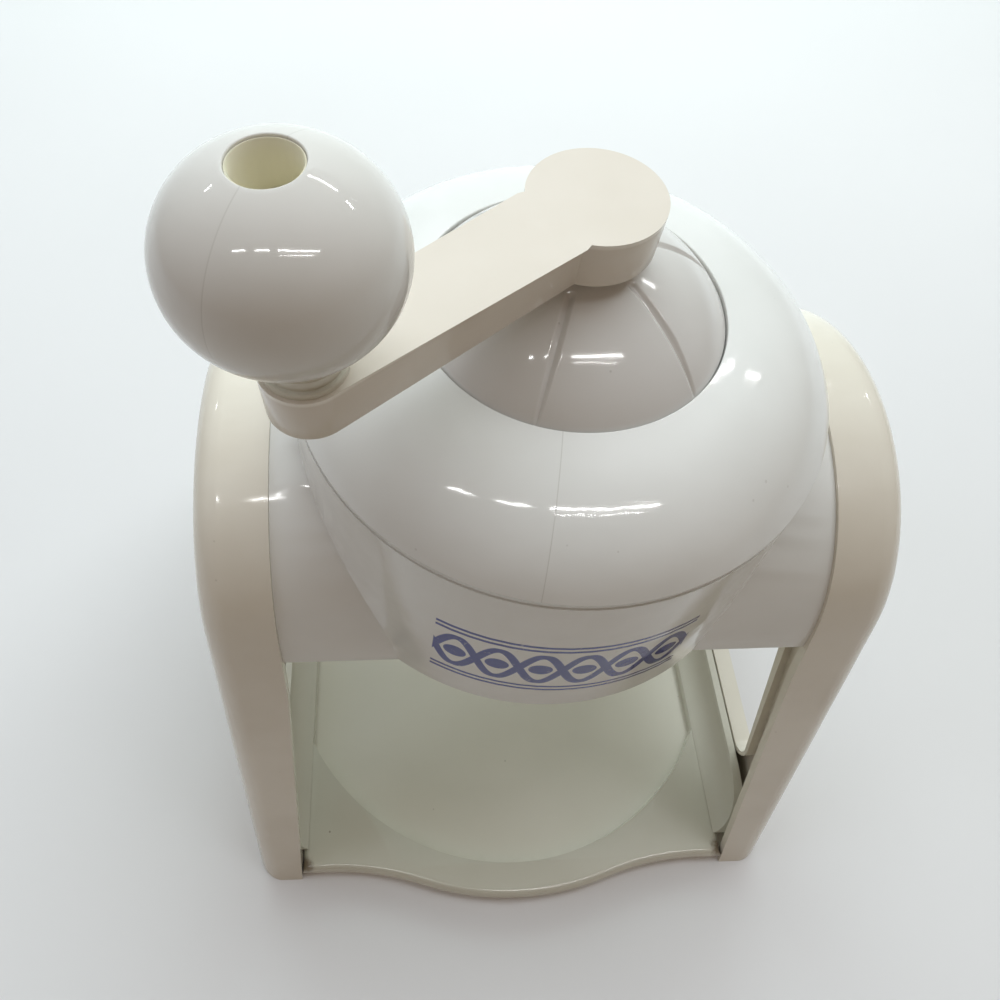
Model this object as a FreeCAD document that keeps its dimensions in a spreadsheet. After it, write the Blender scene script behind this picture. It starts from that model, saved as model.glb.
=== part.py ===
import FreeCAD, Part
import Sketcher
import math
import os
import re

# Driving sizes in millimetres and degrees
SIZES = {
    # Side panels, seen along X as a round head on two splayed legs
    "axis_height": 102.8,
    "panel_radius": 54.7,
    "leg_splay": 20.0,
    "panel_clear": 1.8,
    "leg_spread": 7.0,
    "panel_depth_top": 18.5,
    "panel_depth_foot": 14.8,
    "panel_wall": 2.6,
    "panel_edge_round": 8.0,
    "window_sill": 18.5,
    "window_drop": 14.8,
    "window_half_sill": 66.5,
    "window_half_top": 31.0,
    "window_round": 5.0,
    "window_lip": 3.0,
    # Base tray
    "floor_thick": 4.0,
    "deck_height": 7.5,
    "tray_gap": 0.8,
    "tray_half_length": 94.0,
    "bulge_depth": 9.8,
    "bulge_run": 64.0,
    "deck_round": 2.6,
    "tray_rim": 1.6,
    "recess_radius": 82.0,
    "recess_shift": 11.5,
    "flank_rise": 10.5,
    "flank_spread": 6.4,
    "flank_radius": 10.5,
    "flank_thick": 2.4,
    "flank_heel": 3.8,
    "flank_half": 87.0,
    "flank_flat_half": 60.0,
    "ear_spread": 9.8,
    "ear_half": 42.0,
    "ear_thick": 3.0,
    "ear_screw_spread": 7.6,
    "ear_screw_y": 30.0,
    "ear_boss_radius": 3.2,
    "ear_boss_height": 4.0,
    "foot_radius": 6.0,
    "foot_thick": 1.6,
    "foot_x": 55.0,
    "foot_y": 62.0,
    # Housing: a half drum across a flared round body
    "drum_step": 1.0,
    "drum_sill": 11.2,
    "housing_wall": 2.4,
    "body_neck": 12.7,
    "body_flare": 4.6,
    "post_ring": 38.0,
    "post_turn": 50.0,
    "post_radius": 4.0,
    # Ice chamber, blade and its holder
    "chamber_play": 4.0,
    "chamber_wall": 2.2,
    "chamber_lift": 2.0,
    "chamber_floor": 3.0,
    "flange_thick": 1.9,
    "slot_start": 10.0,
    "slot_margin": 3.8,
    "slot_width": 8.0,
    "blade_thick": 0.8,
    "blade_width": 14.0,
    "blade_bevel": 1.6,
    "blade_reach": 2.7,
    "blade_screw_inset": 8.0,
    "holder_thick": 2.0,
    # Lid ring and dome
    "lid_radius": 60.0,
    "lid_rise": 16.7,
    "lid_band": 27.5,
    "lid_bulge": 32.3,
    "lid_wall": 2.4,
    "rim_lip": 3.0,
    "skirt_depth": 7.0,
    "lid_gap": 0.2,
    "side_gap": 0.3,
    "dome_rise": 17.0,
    "dome_wall": 2.4,
    "dome_sink": 1.0,
    "dome_flange": 4.0,
    "groove_width": 1.2,
    "groove_depth": 0.8,
    "groove_count": 6,
    "groove_turn": -109.0,
    "boss_radius": 9.0,
    "boss_depth": 19.0,
    # Drive line on the vertical axis
    "shaft_radius": 4.0,
    "running_gap": 0.05,
    "bush_wall": 1.5,
    "bush_flange": 1.0,
    "shaft_square": 5.6,
    "shaft_grip": 7.0,
    "shaft_tip_radius": 2.4,
    "shaft_tip_length": 2.4,
    "clip_thick": 1.2,
    "clip_width": 2.6,
    "washer_thick": 1.2,
    "washer_radius": 9.5,
    "stop_thick": 1.2,
    "stop_radius": 6.5,
    "stop_gap": 0.2,
    # Crank arm
    "crank_turn": -143.6,
    "hub_radius": 12.9,
    "hub_gap": 1.6,
    "arm_thick": 9.9,
    "arm_width": 15.0,
    "arm_length": 61.5,
    "arm_round": 1.3,
    # Knob
    "ball_radius": 16.3,
    "ball_squash": 0.91,
    "collar_radius": 6.0,
    "collar_step": 3.2,
    "collar_neck": 4.9,
    "collar_height": 7.2,
    "ball_flat": 0.7,
    "knob_gap": 0.3,
    "knob_bore": 4.6,
    "pin_radius": 3.0,
    "pin_bite": 7.5,
    "pin_cup_wall": 0.7,
    "pin_cup_floor": 1.2,
    "knob_bore_depth": 9.5,
    "pin_head_sink": 1.8,
    # Presser
    "presser_play": 7.8,
    "presser_thick": 3.0,
    "presser_gap": 5.0,
    "presser_hub_radius": 11.0,
    "presser_hub_height": 7.0,
    "presser_rib": 2.4,
    "presser_rib_height": 3.6,
    "presser_rib_count": 4,
    "square_gap": 0.3,
    "spike_count": 8,
    "spike_margin": 9.0,
    "inner_spike_ring": 20.0,
    "spike_radius": 2.4,
    "spike_tip": 0.6,
    "spike_length": 4.6,
    # Pressure spring round the shaft
    "spring_radius": 7.6,
    "spring_wire": 0.7,
    "spring_turns": 9,
    # Screws
    "screw_radius": 1.5,
    "screw_head_radius": 2.7,
    "screw_head": 1.4,
    "screw_bite": 8.0,
    "tray_screw_bite": 6.6,
}

# Sizes and levels that follow from the driving ones
FOLLOWS = {
    "panel_inner": "lid_radius + body_flare + panel_clear",
    "panel_inner_foot": "panel_inner + leg_spread",
    "panel_outer_top": "panel_inner + panel_depth_top",
    "panel_outer_foot": "panel_inner_foot + panel_depth_foot",
    "panel_top": "axis_height + panel_radius + panel_wall",
    "window_top": "axis_height - window_drop",
    "tray_half_width": "panel_inner_foot - tray_gap",
    "recess_half": "tray_half_width - tray_rim",
    "flank_top": "deck_height + flank_rise",
    "flank_reach": "tray_half_width + flank_spread",
    "ear_reach": "tray_half_width + ear_spread",
    "ear_screw_x": "tray_half_width + ear_screw_spread",
    "drum_radius": "panel_radius - drum_step",
    "housing_bottom": "axis_height + drum_sill",
    "housing_top": "axis_height + drum_radius + body_neck",
    "body_radius_bottom": "lid_radius + body_flare",
    "chamber_radius": "lid_radius - chamber_play",
    "chamber_inner": "chamber_radius - chamber_wall",
    "chamber_bottom": "housing_bottom + chamber_lift",
    "slot_end": "chamber_inner - slot_margin",
    "lid_base": "housing_top + flange_thick + lid_gap",
    "rim_radius": "lid_radius - lid_band",
    "rim_level": "lid_base + lid_rise",
    "rim_seat": "rim_level - rim_lip",
    "dome_edge": "rim_level - dome_sink",
    "dome_apex": "dome_edge + dome_rise",
    "dome_reach": "rim_radius - side_gap / 2",
    "dome_sphere": "(dome_reach ^ 2 + dome_rise ^ 2) / (2 * dome_rise)",
    "dome_inner": "dome_sphere - dome_wall",
    "dome_centre": "dome_apex - dome_sphere",
    "boss_end": "dome_apex - boss_depth",
    "clip_top": "boss_end - stop_gap",
    "washer_level": "clip_top - clip_thick - washer_thick",
    "presser_level": "chamber_bottom + chamber_floor + presser_gap",
    "presser_radius": "chamber_inner - presser_play",
    "spike_ring": "presser_radius - spike_margin",
    "stop_top": "presser_level - stop_gap",
    "hub_bottom": "dome_apex + hub_gap",
    "knob_level": "hub_bottom + arm_thick",
    "ball_low": "collar_height + knob_gap",
    "ball_half": "ball_radius * ball_squash",
    "ball_middle": "ball_low + ball_half - ball_flat",
    "bore_floor": "ball_middle + ball_half - knob_bore_depth",
}

doc = FreeCAD.newDocument("IceShaver")
sheet = doc.addObject("Spreadsheet::Sheet", "Sizes")
for row, (alias, number) in enumerate(SIZES.items(), start=1):
    sheet.set(f"A{row}", alias)
    sheet.set(f"B{row}", str(number))
    sheet.setAlias(f"B{row}", alias)
doc.recompute()

FUNCTIONS = ("sqrt", "sin", "cos", "tan")
PLANES = {"XY": "XY_Plane", "XZ": "XZ_Plane", "YZ": "YZ_Plane"}
TOLERANCE = 1e-6
nodes = {}


# Texts such as "lid_radius - lid_wall" are spelled out in driving sizes, then linked to their cells
def spelled(text):
    def driving(match):
        word = match.group()
        return f"({spelled(FOLLOWS[word])})" if word in FOLLOWS else word
    return re.sub(r"[a-z][a-z_]*", driving, text)


def linked(text):
    def cell(match):
        word = match.group()
        return word if word in FUNCTIONS else "Sizes." + word
    return re.sub(r"[a-z][a-z_]*", cell, spelled(text))


def number(text):
    return float(sheet.evalExpression(spelled(text)))


def bind(item, **sizes):
    for prop, text in sizes.items():
        item.setExpression(prop.replace("__", "."), linked(text))
    return item


def keep(item, node):
    item.Label = node
    nodes[node] = item
    return item


# Sketches whose corners and radii are bound to the sheet
def sketch_on(body, plane, name):
    sketch = body.newObject("Sketcher::SketchObject", name)
    origin = [part for part in body.Origin.OriginFeatures if part.Role == PLANES[plane]][0]
    sketch.AttachmentSupport = (origin, "")
    sketch.MapMode = "FlatFace"
    return sketch


def pin_point(sketch, geo, end, x_text, y_text):
    for kind, text, axis in (("DistanceX", x_text, -2), ("DistanceY", y_text, -1)):
        value = number(text)
        if text == "0":
            sketch.addConstraint(Sketcher.Constraint("PointOnObject", geo, end, axis))
        elif value < 0:
            spot = sketch.addConstraint(Sketcher.Constraint(kind, geo, end, -1, 1, -value))
            sketch.setExpression(f"Constraints[{spot}]", linked(f"-({text})"))
        else:
            spot = sketch.addConstraint(Sketcher.Constraint(kind, -1, 1, geo, end, value))
            sketch.setExpression(f"Constraints[{spot}]", linked(text))


# A closed outline from corners (x, y) or (x, y, radius, side), where a radius bends
# the run to the next corner, with its centre left (+1) or right (-1) of the run
def outline(sketch, corners):
    spots = [FreeCAD.Vector(number(c[0]), number(c[1]), 0) for c in corners]
    ends = []
    for index, corner in enumerate(corners):
        start, stop = spots[index], spots[(index + 1) % len(corners)]
        if len(corner) == 2:
            geo = sketch.addGeometry(Part.LineSegment(start, stop), False)
            ends.append((geo, 1, 2))
            continue
        radius, side = number(corner[2]), corner[3]
        chord = stop - start
        rise = math.sqrt(radius ** 2 - chord.Length ** 2 / 4)
        normal = FreeCAD.Vector(-chord.y, chord.x, 0) / chord.Length
        centre = (start + stop) / 2 + normal * rise * side
        first, last = (start, stop) if side > 0 else (stop, start)
        angles = [math.atan2(p.y - centre.y, p.x - centre.x) for p in (first, last)]
        circle = Part.Circle(centre, FreeCAD.Vector(0, 0, 1), radius)
        geo = sketch.addGeometry(Part.ArcOfCircle(circle, angles[0], angles[1]), False)
        ends.append((geo, 1, 2) if side > 0 else (geo, 2, 1))
    for index, (geo, first, last) in enumerate(ends):
        next_geo, next_first, _ = ends[(index + 1) % len(ends)]
        sketch.addConstraint(Sketcher.Constraint("Coincident", geo, last, next_geo, next_first))
    for (geo, first, last), corner in zip(ends, corners):
        pin_point(sketch, geo, first, corner[0], corner[1])
        if len(corner) > 2:
            spot = sketch.addConstraint(Sketcher.Constraint("Radius", geo, number(corner[2])))
            sketch.setExpression(f"Constraints[{spot}]", linked(corner[2]))


def ring_line(sketch, x_text, y_text, radius_text):
    centre = FreeCAD.Vector(number(x_text), number(y_text), 0)
    circle = Part.Circle(centre, FreeCAD.Vector(0, 0, 1), number(radius_text))
    geo = sketch.addGeometry(circle, False)
    spot = sketch.addConstraint(Sketcher.Constraint("Radius", geo, number(radius_text)))
    sketch.setExpression(f"Constraints[{spot}]", linked(radius_text))
    pin_point(sketch, geo, 3, x_text, y_text)


def new_body(name):
    return doc.addObject("PartDesign::Body", name)


def pad(body, sketch, length, midplane=False):
    feature = body.newObject("PartDesign::Pad", sketch.Name + "_pad")
    feature.Profile = sketch
    feature.Midplane = midplane
    return bind(feature, Length=length)


# A pocket right through, checked by the volume that it takes away
def cut_through(body, sketch):
    doc.recompute()
    before = body.Shape.Volume
    feature = body.newObject("PartDesign::Pocket", sketch.Name + "_cut")
    feature.Profile = sketch
    feature.Type = 1
    feature.Midplane = True
    doc.recompute()
    if not body.Shape.Volume < before:
        raise ValueError(sketch.Name + " cuts nothing")
    return feature


def cut_deep(body, sketch, depth, midplane=False, flip=False):
    doc.recompute()
    before = body.Shape.Volume
    feature = body.newObject("PartDesign::Pocket", sketch.Name + "_cut")
    feature.Profile = sketch
    feature.Midplane = midplane
    feature.Reversed = flip
    bind(feature, Length=depth)
    doc.recompute()
    if not body.Shape.Volume < before:
        raise ValueError(sketch.Name + " cuts nothing")
    return feature


def turned(body, name, corners):
    sketch = sketch_on(body, "XZ", name)
    outline(sketch, corners)
    feature = body.newObject("PartDesign::Revolution", name + "_turn")
    feature.Profile = sketch
    feature.ReferenceAxis = (sketch, ["V_Axis"])
    feature.Angle = 360
    return feature


def around(body, feature, count):
    pattern = body.newObject("PartDesign::PolarPattern", feature.Name + "_ring")
    pattern.Originals = [feature]
    axis = [part for part in body.Origin.OriginFeatures if part.Role == "Z_Axis"][0]
    pattern.Axis = (axis, [""])
    pattern.Angle = 360
    bind(pattern, Occurrences=count)
    body.Tip = pattern
    doc.recompute()
    return pattern


def edges_where(shape, test):
    return [f"Edge{index}" for index, edge in enumerate(shape.Edges, start=1) if test(edge)]


def level_with(height):
    level = number(height)
    return lambda edge: all(math.isclose(vertex.Z, level, rel_tol=TOLERANCE) for vertex in edge.Vertexes)


def rounded(body, test, radius, name):
    doc.recompute()
    base = body.Tip
    feature = body.newObject("PartDesign::Fillet", name)
    feature.Base = (base, edges_where(base.Shape, test))
    bind(feature, Radius=radius)
    doc.recompute()
    return feature


def face_sideways(item, turn):
    item.Placement = FreeCAD.Placement(item.Placement.Base, FreeCAD.Rotation(FreeCAD.Vector(0, 1, 0), turn))


def half_turn(item):
    item.Placement = FreeCAD.Placement(item.Placement.Base, FreeCAD.Rotation(FreeCAD.Vector(0, 0, 1), 180))


def cylinder(name, radius, height, x="0", y="0", z="0", along="Z"):
    item = doc.addObject("Part::Cylinder", name)
    bind(item, Radius=radius, Height=height, Placement__Base__x=x, Placement__Base__y=y, Placement__Base__z=z)
    if along == "X":
        face_sideways(item, 90)
    return item


def box(name, length, width, height, x, y, z):
    item = doc.addObject("Part::Box", name)
    return bind(item, Length=length, Width=width, Height=height,
                Placement__Base__x=x, Placement__Base__y=y, Placement__Base__z=z)


def cut(name, base, tool):
    item = doc.addObject("Part::Cut", name)
    item.Base = base
    item.Tool = tool
    return item


def fuse(name, shapes):
    item = doc.addObject("Part::MultiFuse", name)
    item.Shapes = shapes
    item.Refine = True
    return item


def shared(name, shapes):
    item = doc.addObject("Part::MultiCommon", name)
    item.Shapes = shapes
    return item


def group(name, shapes):
    item = doc.addObject("Part::Compound", name)
    item.Links = shapes
    return item


# Side panels: a shell of the panel's outline, open towards the middle, with a lipped window
def panel_outline(inset):
    head = f"(panel_radius - {inset})"
    side = f"{head} * cos(leg_splay)"
    shoulder = f"axis_height + {head} * sin(leg_splay)"
    reach = f"{side} + ({shoulder} - {inset}) * tan(leg_splay)"
    return [(f"-({reach})", inset), (reach, inset), (side, shoulder, head, 1), (f"-({side})", shoulder)]


def panel_block(name, inset):
    body = new_body(name)
    profile = sketch_on(body, "YZ", name + "_outline")
    outline(profile, panel_outline(inset))
    pad(body, profile, "panel_outer_foot + panel_wall")
    outside = sketch_on(body, "XZ", name + "_outside")
    lean = "(panel_outer_foot - panel_outer_top) / (axis_height + panel_radius)"
    low, high = "-panel_wall", "panel_top"
    corners = [(f"panel_outer_foot - {inset} + panel_wall * {lean}", low),
               ("panel_outer_foot + 2 * panel_wall", low),
               ("panel_outer_foot + 2 * panel_wall", high),
               (f"panel_outer_top - {inset} - panel_wall * {lean}", high)]
    outline(outside, corners)
    cut_through(body, outside)
    limit = number(f"panel_outer_top - {inset} - panel_wall")
    on_outside = lambda edge: all(vertex.X > limit for vertex in edge.Vertexes)
    rounded(body, on_outside, f"panel_edge_round - {inset}", name + "_edge")
    return body


# The window's outline, spread outwards, as a block that starts at a plane across X
def window_block(name, spread, start):
    body = new_body(name)
    profile = sketch_on(body, "YZ", name + "_outline")
    profile.setExpression("AttachmentOffset.Base.z", linked(start))
    low, high = f"window_sill - {spread}", f"window_top + {spread}"
    wide, narrow = f"window_half_sill + {spread}", f"window_half_top + {spread}"
    outline(profile, [(f"-({wide})", low), (wide, low), (narrow, high), (f"-({narrow})", high)])
    pad(body, profile, "2 * panel_outer_foot")
    along_x = lambda edge: edge.BoundBox.XLength > edge.BoundBox.YLength + edge.BoundBox.ZLength
    rounded(body, along_x, f"window_round + {spread}", name + "_corners")
    return body


def post_places():
    return [(f"post_ring * sin({turn} * post_turn)", f"axis_height + post_ring * cos({turn} * post_turn)")
            for turn in (-1, 0, 1)]


def side_panel(side):
    name = side + "_side_panel"
    body = panel_block(side + "_outer", "0")
    inside = sketch_on(body, "XZ", side + "_inside")
    outline(inside, [("-panel_wall", "-panel_wall"), ("panel_inner_foot", "-panel_wall"),
                     ("panel_inner_foot", "0"), ("panel_inner", "axis_height"),
                     ("panel_inner", "panel_top"), ("-panel_wall", "panel_top")])
    cut_through(body, inside)
    lip = window_block(side + "_lip", "panel_wall", "panel_outer_top - window_lip")
    hollow = cut(side + "_hollow", panel_block(side + "_room", "panel_wall"), lip)
    shell = cut(side + "_shell", body, hollow)
    framed = cut(side + "_framed", shell, window_block(side + "_window", "0", "0"))
    posts, pilots = [], []
    for index, (across, height) in enumerate(post_places(), start=1):
        run = "panel_outer_top - panel_wall / 2 - panel_inner"
        posts.append(cylinder(f"{side}_post_{index}", "post_radius", run, "panel_inner", across, height, "X"))
        pilots.append(cylinder(f"{side}_pilot_{index}", "screw_radius", "screw_bite",
                               "panel_inner", across, height, "X"))
    for index, turn in enumerate((-1, 1), start=1):
        pilots.append(cylinder(f"{side}_foot_hole_{index}", "screw_radius", "2 * panel_wall",
                               "ear_screw_x", f"{turn} * ear_screw_y", "0"))
        pilots.append(cylinder(f"{side}_foot_sink_{index}", "screw_head_radius + side_gap",
                               "screw_head + side_gap", "ear_screw_x", f"{turn} * ear_screw_y", "0"))
    solid = fuse(side + "_posted", [framed] + posts)
    panel = cut(side + "_panel", solid, group(side + "_holes", pilots))
    keep(panel, name)
    if side == "left":
        half_turn(panel)
    return panel


# Base tray: a recessed floor between two wavy decks, with flanks that rise into the panels
def tray_outline():
    edge = "tray_half_length"
    swell = f"({edge} + bulge_depth / 2)"
    bend = "(bulge_run ^ 2 + bulge_depth ^ 2) / (4 * bulge_depth)"
    return [("-tray_half_width", f"-{edge}"), ("-bulge_run", f"-{edge}", bend, -1),
            ("-bulge_run / 2", f"-{swell}", bend, 1), ("bulge_run / 2", f"-{swell}", bend, -1),
            ("bulge_run", f"-{edge}"), ("tray_half_width", f"-{edge}"),
            ("tray_half_width", edge), ("bulge_run", edge, bend, -1),
            ("bulge_run / 2", swell, bend, 1), ("-bulge_run / 2", swell, bend, -1),
            ("-bulge_run", edge), ("-tray_half_width", edge)]


def base_tray():
    body = new_body("tray")
    deck = sketch_on(body, "XY", "deck")
    outline(deck, tray_outline())
    pad(body, deck, "deck_height")
    rounded(body, level_with("deck_height"), "deck_round", "deck_lip")
    recess = sketch_on(body, "XY", "recess")
    recess.setExpression("AttachmentOffset.Base.z", linked("deck_height"))
    turn_y = "sqrt(recess_radius ^ 2 - recess_half ^ 2) + recess_shift"
    outline(recess, [("-recess_half", f"-({turn_y})", "recess_radius", 1), ("recess_half", f"-({turn_y})"),
                     ("recess_half", turn_y, "recess_radius", 1), ("-recess_half", turn_y)])
    cut_deep(body, recess, "deck_height - floor_thick")
    pieces = [body]
    for index, turn in enumerate((1, -1), start=1):
        sides = [flank_body(f"flank_{index}"), fitted_ear(f"ear_{index}")]
        pieces += sides
        if turn < 0:
            for piece in sides:
                half_turn(piece)
    holes = []
    for index, (side, across) in enumerate(((-1, -1), (-1, 1), (1, -1), (1, 1)), start=1):
        holes.append(cylinder(f"ear_pilot_{index}", "screw_radius", "side_gap + tray_screw_bite",
                              f"{side} * ear_screw_x", f"{across} * ear_screw_y", "0"))
        holes.append(cylinder(f"foot_socket_{index}", "foot_radius", "foot_thick",
                              f"{side} * foot_x", f"{across} * foot_y", "0"))
    return keep(cut("tray_panel", fuse("tray_solid", pieces), group("tray_holes", holes)), "base_tray")


# A screw ear with its bosses, which fills the rounded corner inside the panel's foot
def fitted_ear(name):
    plate = box(name + "_plate", "ear_reach - recess_half", "2 * ear_half", "ear_thick",
                "recess_half", "-ear_half", "panel_wall")
    bosses = [cylinder(f"{name}_boss_{mark}", "ear_boss_radius", "ear_thick + ear_boss_height",
                       "ear_screw_x", f"{across} * ear_screw_y", "panel_wall")
              for mark, across in enumerate((-1, 1), start=1)]
    return shared(name, [fuse(name + "_solid", [plate] + bosses), panel_block(name + "_room", "panel_wall")])


def flank_body(name):
    body = new_body(name)
    profile = sketch_on(body, "XZ", name + "_profile")
    low = "floor_thick - flank_thick / 2"
    outline(profile, [("recess_half", "deck_height", "flank_radius", 1), ("flank_reach", "flank_top"),
                      ("flank_reach + flank_thick", "flank_top", "flank_radius + flank_thick", -1),
                      ("recess_half + flank_heel", low), ("recess_half", low)])
    pad(body, profile, "2 * flank_half", midplane=True)
    for index, turn in enumerate((1, -1), start=1):
        slope = sketch_on(body, "YZ", f"{name}_slope_{index}")
        fall = "(flank_half - flank_flat_half)"
        sign = "" if turn > 0 else "-"
        bend = f"({fall} ^ 2 + flank_rise ^ 2) / (2 * flank_rise)"
        outline(slope, [(f"{sign}flank_flat_half", "flank_top", bend, -turn),
                        (f"{sign}flank_half", "deck_height"),
                        (f"{sign}(flank_half + {fall})", "deck_height"),
                        (f"{sign}(flank_half + {fall})", "flank_top + flank_thick"),
                        (f"{sign}flank_flat_half", "flank_top + flank_thick")])
        cut_through(body, slope)
    return body


def rubber_feet():
    pads = [cylinder(f"foot_{index}", "foot_radius", "foot_thick",
                     f"{side} * foot_x", f"{across} * foot_y", "0")
            for index, (side, across) in enumerate(((-1, -1), (-1, 1), (1, -1), (1, 1)), start=1)]
    return keep(group("feet", pads), "rubber_feet")


# Housing: one thin shell made of a flared round body and a half drum, open below
def drum_block(name, inset):
    body = new_body(name)
    profile = sketch_on(body, "YZ", name + "_profile")
    low = "housing_bottom" if inset == "0" else "housing_bottom - housing_wall"
    radius = f"(drum_radius - {inset})"
    half = f"sqrt({radius} ^ 2 - ({low} - axis_height) ^ 2)"
    outline(profile, [(f"-{half}", low), (half, low, radius, 1), ("0", f"axis_height + {radius}", radius, 1)])
    pad(body, profile, f"2 * (panel_inner - {inset})", midplane=True)
    return body


def round_block(name, inset, over):
    body = new_body(name)
    low, high = f"housing_bottom - {over}", f"housing_top + {over}"
    slope = f"body_flare * {over} / (housing_top - housing_bottom)"
    turned(body, name + "_profile", [("0", low), (f"body_radius_bottom - {inset} + {slope}", low),
                                     (f"lid_radius - {inset} - {slope}", high), ("0", high)])
    return body


def housing():
    outside = fuse("housing_outside", [drum_block("drum_outside", "0"),
                                       round_block("body_outside", "0", "0")])
    inside = fuse("housing_inside", [drum_block("drum_inside", "housing_wall"),
                                     round_block("body_inside", "housing_wall", "housing_wall")])
    shell = cut("housing_shell", outside, inside)
    holes = []
    for side in (-1, 1):
        for index, (across, height) in enumerate(post_places(), start=1):
            start = "panel_inner - 2 * housing_wall" if side > 0 else "-panel_inner - housing_wall"
            holes.append(cylinder(f"drum_hole_{side + 2}_{index}", "screw_radius", "3 * housing_wall",
                                  start, across, height, "X"))
    return keep(cut("housing_drilled", shell, group("drum_holes", holes)), "housing")


# Ice chamber: a cup whose flange sits on the housing, with a radial slot in its floor
def ice_chamber():
    body = new_body("chamber")
    top = "housing_top + flange_thick"
    turned(body, "chamber_profile", [
        ("0", "chamber_bottom"), ("chamber_radius", "chamber_bottom"), ("chamber_radius", "housing_top"),
        ("lid_radius - side_gap", "housing_top"), ("lid_radius - side_gap", top),
        ("chamber_inner", top), ("chamber_inner", "chamber_bottom + chamber_floor"),
        ("0", "chamber_bottom + chamber_floor")])
    slot = sketch_on(body, "XY", "chamber_slot")
    outline(slot, [("slot_start", "-slot_width / 2"), ("slot_end", "-slot_width / 2"),
                   ("slot_end", "slot_width / 2"), ("slot_start", "slot_width / 2")])
    cut_through(body, slot)
    holes = [cylinder(f"chamber_hole_{index}", "screw_radius", "chamber_floor - side_gap",
                      along, across, "chamber_bottom")
             for index, (along, across) in enumerate(blade_screw_places(), start=1)]
    return keep(cut("chamber_drilled", body, group("chamber_holes", holes)), "ice_chamber")


def blade_screw_places():
    across = "slot_width / 2 + blade_width / 2"
    return [("slot_start + blade_screw_inset", across), ("slot_end - blade_screw_inset", across)]


# The blade lies under the floor, its ground edge reaching into the slot
def blade():
    body = new_body("blade_steel")
    profile = sketch_on(body, "YZ", "blade_profile")
    edge, back = "slot_width / 2 - blade_reach", "slot_width / 2 + blade_width"
    under = "chamber_bottom - blade_thick"
    outline(profile, [(edge, "chamber_bottom"), (f"{edge} + blade_bevel", under),
                      (back, under), (back, "chamber_bottom")])
    profile.setExpression("AttachmentOffset.Base.z", linked("slot_start"))
    pad(body, profile, "slot_end - slot_start")
    holes = [cylinder(f"blade_hole_{index}", "screw_radius", "2 * blade_thick", along, across,
                      "chamber_bottom - 2 * blade_thick")
             for index, (along, across) in enumerate(blade_screw_places(), start=1)]
    return keep(cut("blade_drilled", body, group("blade_holes", holes)), "blade")


def blade_holder():
    plate = box("holder_plate", "slot_end - slot_start", "blade_width - blade_bevel", "holder_thick",
                "slot_start", "slot_width / 2 + blade_bevel", "chamber_bottom - blade_thick - holder_thick")
    holes = [cylinder(f"holder_hole_{index}", "screw_radius", "2 * holder_thick", along, across,
                      "chamber_bottom - blade_thick - 1.5 * holder_thick")
             for index, (along, across) in enumerate(blade_screw_places(), start=1)]
    return keep(cut("holder_drilled", plate, group("holder_holes", holes)), "blade_holder")


# Screws: a head and a shank on one axis, pointing along +Z from the head
def screw(name, x, y, z, length, turn=None):
    head = cylinder(name + "_head", "screw_head_radius", "screw_head")
    shank = cylinder(name + "_shank", "screw_radius", f"screw_head + {length}")
    piece = fuse(name, [head, shank])
    bind(piece, Placement__Base__x=x, Placement__Base__y=y, Placement__Base__z=z)
    if turn:
        face_sideways(piece, turn)
    return piece


def screws():
    blade_level = "chamber_bottom - blade_thick - holder_thick - screw_head"
    blade_bite = "holder_thick + blade_thick + chamber_floor - 2 * side_gap"
    items = [screw(f"blade_screw_{index}", along, across, blade_level, blade_bite)
             for index, (along, across) in enumerate(blade_screw_places(), start=1)]
    keep(group("blade_screw_set", items), "blade_screws")
    items = [screw(f"tray_screw_{index}", f"{side} * ear_screw_x", f"{across} * ear_screw_y", "side_gap",
                   "tray_screw_bite - screw_head")
             for index, (side, across) in enumerate(((-1, -1), (-1, 1), (1, -1), (1, 1)), start=1)]
    keep(group("tray_screw_set", items), "tray_screws")
    items = []
    for side in (-1, 1):
        for index, (across, height) in enumerate(post_places(), start=1):
            items.append(screw(f"drum_screw_{side + 2}_{index}",
                               f"{side} * (panel_inner - housing_wall - screw_head)", across, height,
                               "housing_wall + screw_bite - side_gap", 90 * side))
    keep(group("drum_screw_set", items), "housing_screws")


# Lid: a rounded ring and a grooved dome that carries the shaft's bush
def lid_ring():
    body = new_body("ring")
    inside = "rim_radius + lid_wall"
    skirt = "chamber_inner - side_gap"
    turned(body, "ring_profile", [
        ("lid_radius", "lid_base", "lid_bulge", 1), ("rim_radius", "rim_level"),
        ("rim_radius", "rim_seat"), (inside, "rim_seat"),
        (inside, "rim_level - lid_wall", "lid_bulge - lid_wall", -1),
        ("lid_radius - 2 * lid_wall", "lid_base + lid_wall"), (f"{skirt} - lid_wall", "lid_base + lid_wall"),
        (f"{skirt} - lid_wall", "lid_base - skirt_depth"), (skirt, "lid_base - skirt_depth"),
        (skirt, "lid_base")])
    return keep(body, "lid_ring")


# Height on a sphere round the dome's centre, at a reach from the axis
def dome_height(sphere, reach):
    return f"dome_centre + sqrt(({sphere}) ^ 2 - ({reach}) ^ 2)"


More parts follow.
